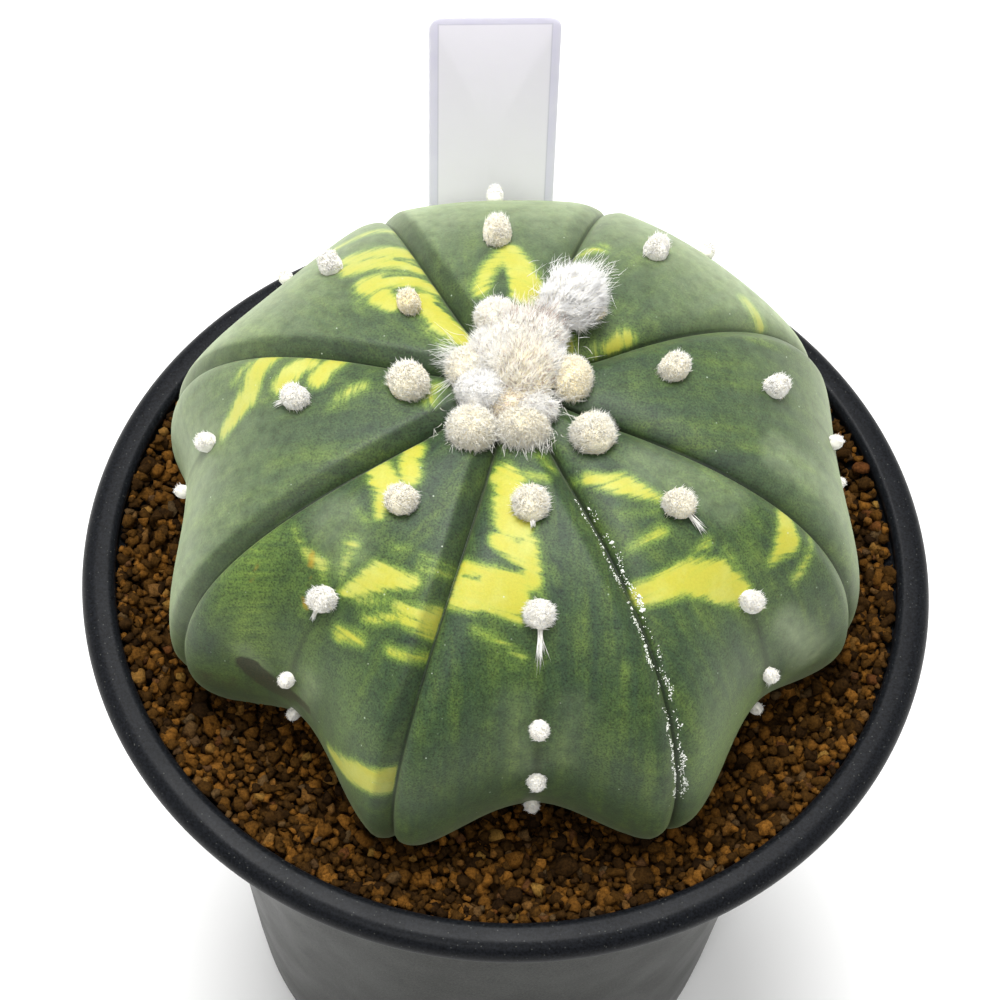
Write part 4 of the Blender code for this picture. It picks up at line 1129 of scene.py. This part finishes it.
# Tag: plain white plastic under a blank paper strip, leaning back behind the plant
tag = {
    "width": 16.2 * mm,
    "thickness": 0.6 * mm,
    "above": 48.7 * mm,
    "taper": [(1.5, -28), (4.6, -8), (6.6, 0), (8.1, 6)],       # half widths and heights over the foot point
    "corner": 1.7 * mm,
    "bevel": 0.12 * mm,
    "foot": (-5.0 * mm, 41.1 * mm, 98.0 * mm),
    "lean": 11.5,
    "yaw": 6.0,
    "strip": (6.95, 47.65, 9.0),                      # half width, top and foot of the paper, in mm
}


# Flat plate with rounded edges: the outline goes round in rings, pulled in by the bevel at front and back
def plateShape(outlinePoints, thickness, bevel):
    edges = np.roll(outlinePoints, -1, 0) - np.roll(outlinePoints, 1, 0)
    inward = normalized(np.stack([-edges[:, 1], edges[:, 0]], -1))
    half = thickness / 2
    rings = []
    for angle in np.radians([90, 60, 30, 0]):
        pull, rise = bevel * (1 - math.cos(angle)), half - bevel * (1 - math.sin(angle))
        rings.append((pull, rise))
    rings = rings + [(pull, -rise) for pull, rise in reversed(rings)]
    points = np.stack([np.column_stack([outlinePoints + inward * pull, np.full(len(inward), rise)])
                       for pull, rise in rings])
    return gridShape(points, {"flat": points / mm})


# White polystyrene that lets light through, with a strip of coated paper on its front: slightly lighter,
# with a fine grey line along its edge that is painted shadow. The flat attribute holds places on the plate in
# mm
def tagMaterial():
    material, tree, shader = newMaterial("whitePolystyreneSheet", {
        "Roughness": 0.45, "Specular IOR Level": 0.4, "Subsurface Weight": 0.9, "Subsurface Scale": 1.2 * mm,
        "Subsurface Radius": (1.0, 1.0, 1.0)})
    flat = addNode(tree, "Attribute", {"attribute_name": "flat"}, output="Vector")
    haze = addNode(tree, "TexNoise", {"Scale": 0.25, "Detail": 3.0}, {"Vector": flat})
    tone = addNode(tree, "ValToRGB", {"stops": [(0.3, "#DCD9EA"), (0.7, "#E1DEEE")]}, {0: haze})
    place = addNode(tree, "SeparateXYZ", {}, {0: flat}).node.outputs
    halfWidth, top, foot = tag["strip"]
    side = addNode(tree, "Math", {"operation": "ABSOLUTE"}, {0: place[0]})
    inSide = addNode(tree, "Math", {"operation": "SUBTRACT", 0: halfWidth}, {1: side})
    inTop = addNode(tree, "Math", {"operation": "SUBTRACT", 0: top}, {1: place[1]})
    inFoot = addNode(tree, "Math", {"operation": "SUBTRACT", 1: foot}, {0: place[1]})
    least = addNode(tree, "Math", {"operation": "MINIMUM"}, {0: inSide, 1: inTop})
    inside = addNode(tree, "Math", {"operation": "MINIMUM"}, {0: least, 1: inFoot})
    inFront = addNode(tree, "Math", {"operation": "MINIMUM"}, {0: inside, 1: place[2]})
    paper = addNode(tree, "MapRange", {1: 0.0, 2: 0.05}, {0: inFront})
    papered = addNode(tree, "Mix", {"data_type": "RGBA", 7: linearColor("#EDE9F6")}, {0: paper, 6: tone})
    # A fine grey line painted along the paper's edge as its shadow
    distance = addNode(tree, "Math", {"operation": "ABSOLUTE"}, {0: inFront})
    line = addNode(tree, "MapRange", {1: 0.02, 2: 0.14, 3: 0.3, 4: 0.0}, {0: distance})
    edgeShadowed = addNode(tree, "Mix", {"data_type": "RGBA", 7: linearColor("#A8A8AE")}, {0: line, 6: papered})
    tree.links.new(edgeShadowed, shader.inputs["Base Color"])
    return material


# Tag: taper, edges and round top corners in one outline, made a plate, leaned back and turned
def makeTag():
    half, top, round_ = tag["width"] / 2, tag["above"], tag["corner"]
    taper = np.array(tag["taper"]) * mm
    plate = taper.tolist() + [(half, top * share) for share in (0.35, 0.55, 0.75)]
    plate += corner(half - round_, top - round_, round_, 0, 90, 10)
    plate += corner(-half + round_, top - round_, round_, 90, 180, 10)
    plate += [(-half, top * share) for share in (0.75, 0.55, 0.35)] + (taper[::-1] * [-1, 1]).tolist()
    turn = np.array(Euler((math.pi / 2 - math.radians(tag["lean"]), 0, math.radians(tag["yaw"]))).to_matrix())
    shape = plateShape(np.array(plate), tag["thickness"], tag["bevel"])
    shape["points"] = shape["points"] @ turn.T + np.array(tag["foot"])
    piece = addPiece("tag_plate", shape, tagMaterial(), 50)
    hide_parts("plant_label")


makeTag()
print("tag made")

# Camera as the photograph saw it: turned from a level view by elevation, then pan, tilt and roll
view = {
    "elevation": 59.368,
    "distance": 273.372 * mm,
    "aim": (0.0, -1.2 * mm, 105.0 * mm),
    "pan": 0.302,
    "tilt": 1.502,
    "roll": -4.001,
    "focalPixels": 2200,
    "imagePixels": 1000,
}


# Turns a vector about an axis by an angle in degrees
def turnedAbout(vector, axis, angle):
    return np.array(Matrix.Rotation(math.radians(angle), 3, axis.tolist())) @ vector


def makeCamera():
    elevation = math.radians(view["elevation"])
    back = np.array([0, -math.cos(elevation), math.sin(elevation)])
    forward, right = -back, np.array([1.0, 0.0, 0.0])
    top = np.cross(right, forward)
    forward, right = turnedAbout(forward, top, view["pan"]), turnedAbout(right, top, view["pan"])
    forward, top = turnedAbout(forward, right, view["tilt"]), turnedAbout(top, right, view["tilt"])
    right, top = turnedAbout(right, forward, view["roll"]), turnedAbout(top, forward, view["roll"])
    lens = bpy.data.cameras.new("photo_camera")
    lens.sensor_width = 36.0
    lens.lens = lens.sensor_width * view["focalPixels"] / view["imagePixels"]
    lens.clip_start = 0.01
    camera = bpy.data.objects.new("photo_camera", lens)
    bpy.context.scene.collection.objects.link(camera)
    matrix = np.eye(4)
    matrix[:3, 0], matrix[:3, 1], matrix[:3, 2] = right, top, -forward
    matrix[:3, 3] = back * view["distance"] + view["aim"]
    camera.matrix_world = Matrix(matrix.tolist())
    bpy.context.scene.camera = camera


makeCamera()

# Studio: a white floor in a white room that is dim in front, a soft light high up behind on the left, and
# a weak one in front. Each light: azimuth, elevation, distance, width and watts
studio = {
    "floorRadius": 3.0,
    "target": (0.0, 0.0, 0.11),
    "room": 0.85,
    "roomFront": 0.16,
    "lights": [("key_softbox", 110, 77, 1.25, 0.6, 18.5), ("front_softbox", -105, 50, 1.4, 0.5, 5.2)],
}


def makeStudio():
    floor = turnedPoints([(studio["floorRadius"] * share, 0.0) for share in (0.02, 0.1, 0.4, 1.0)], 64)
    paper = newMaterial("whitePaperFloor", {
        "Base Color": linearColor("#F8F8F7"), "Roughness": 0.9, "Specular IOR Level": 0.1})[0]
    shape = gridShape(floor)
    shape["faces"].pop()        # the fan that would close the disc at its edge
    meshObject("floor", shape, paper)
    world = bpy.data.worlds.new("white_room")
    world.use_nodes = True
    tree = world.node_tree
    # The room darkens towards -Y, below 50 degrees
    direction = addNode(tree, "TexCoord", output="Generated")
    dimWay = (0.0, -0.97, 0.26)
    nearness = addNode(tree, "VectorMath", {"operation": "DOT_PRODUCT", 1: dimWay}, {0: direction})
    strength = addNode(tree, "MapRange", {1: 0.35, 2: 0.8, 3: studio["room"], 4: studio["roomFront"],
                                          "interpolation_type": "SMOOTHSTEP"}, {0: nearness})
    tree.links.new(strength, tree.nodes["Background"].inputs["Strength"])
    tree.nodes["Background"].inputs["Color"].default_value = (1.0, 1.0, 1.0, 1.0)
    bpy.context.scene.world = world
    for name, azimuth, elevation, distance, size, power in studio["lights"]:
        azimuth, elevation = math.radians(azimuth), math.radians(elevation)
        level = distance * math.cos(elevation)
        away = Vector((level * math.cos(azimuth), level * math.sin(azimuth), distance * math.sin(elevation)))
        lamp = bpy.data.lights.new(name, "AREA")
        lamp.shape = "DISK"
        lamp.size = size
        lamp.energy = power
        light = bpy.data.objects.new(name, lamp)
        light.location = away + Vector(studio["target"])
        light.rotation_euler = away.to_track_quat("Z", "Y").to_euler()
        bpy.context.scene.collection.objects.link(light)
    bpy.context.scene.view_settings.view_transform = "Standard"


makeStudio()
print("studio made")
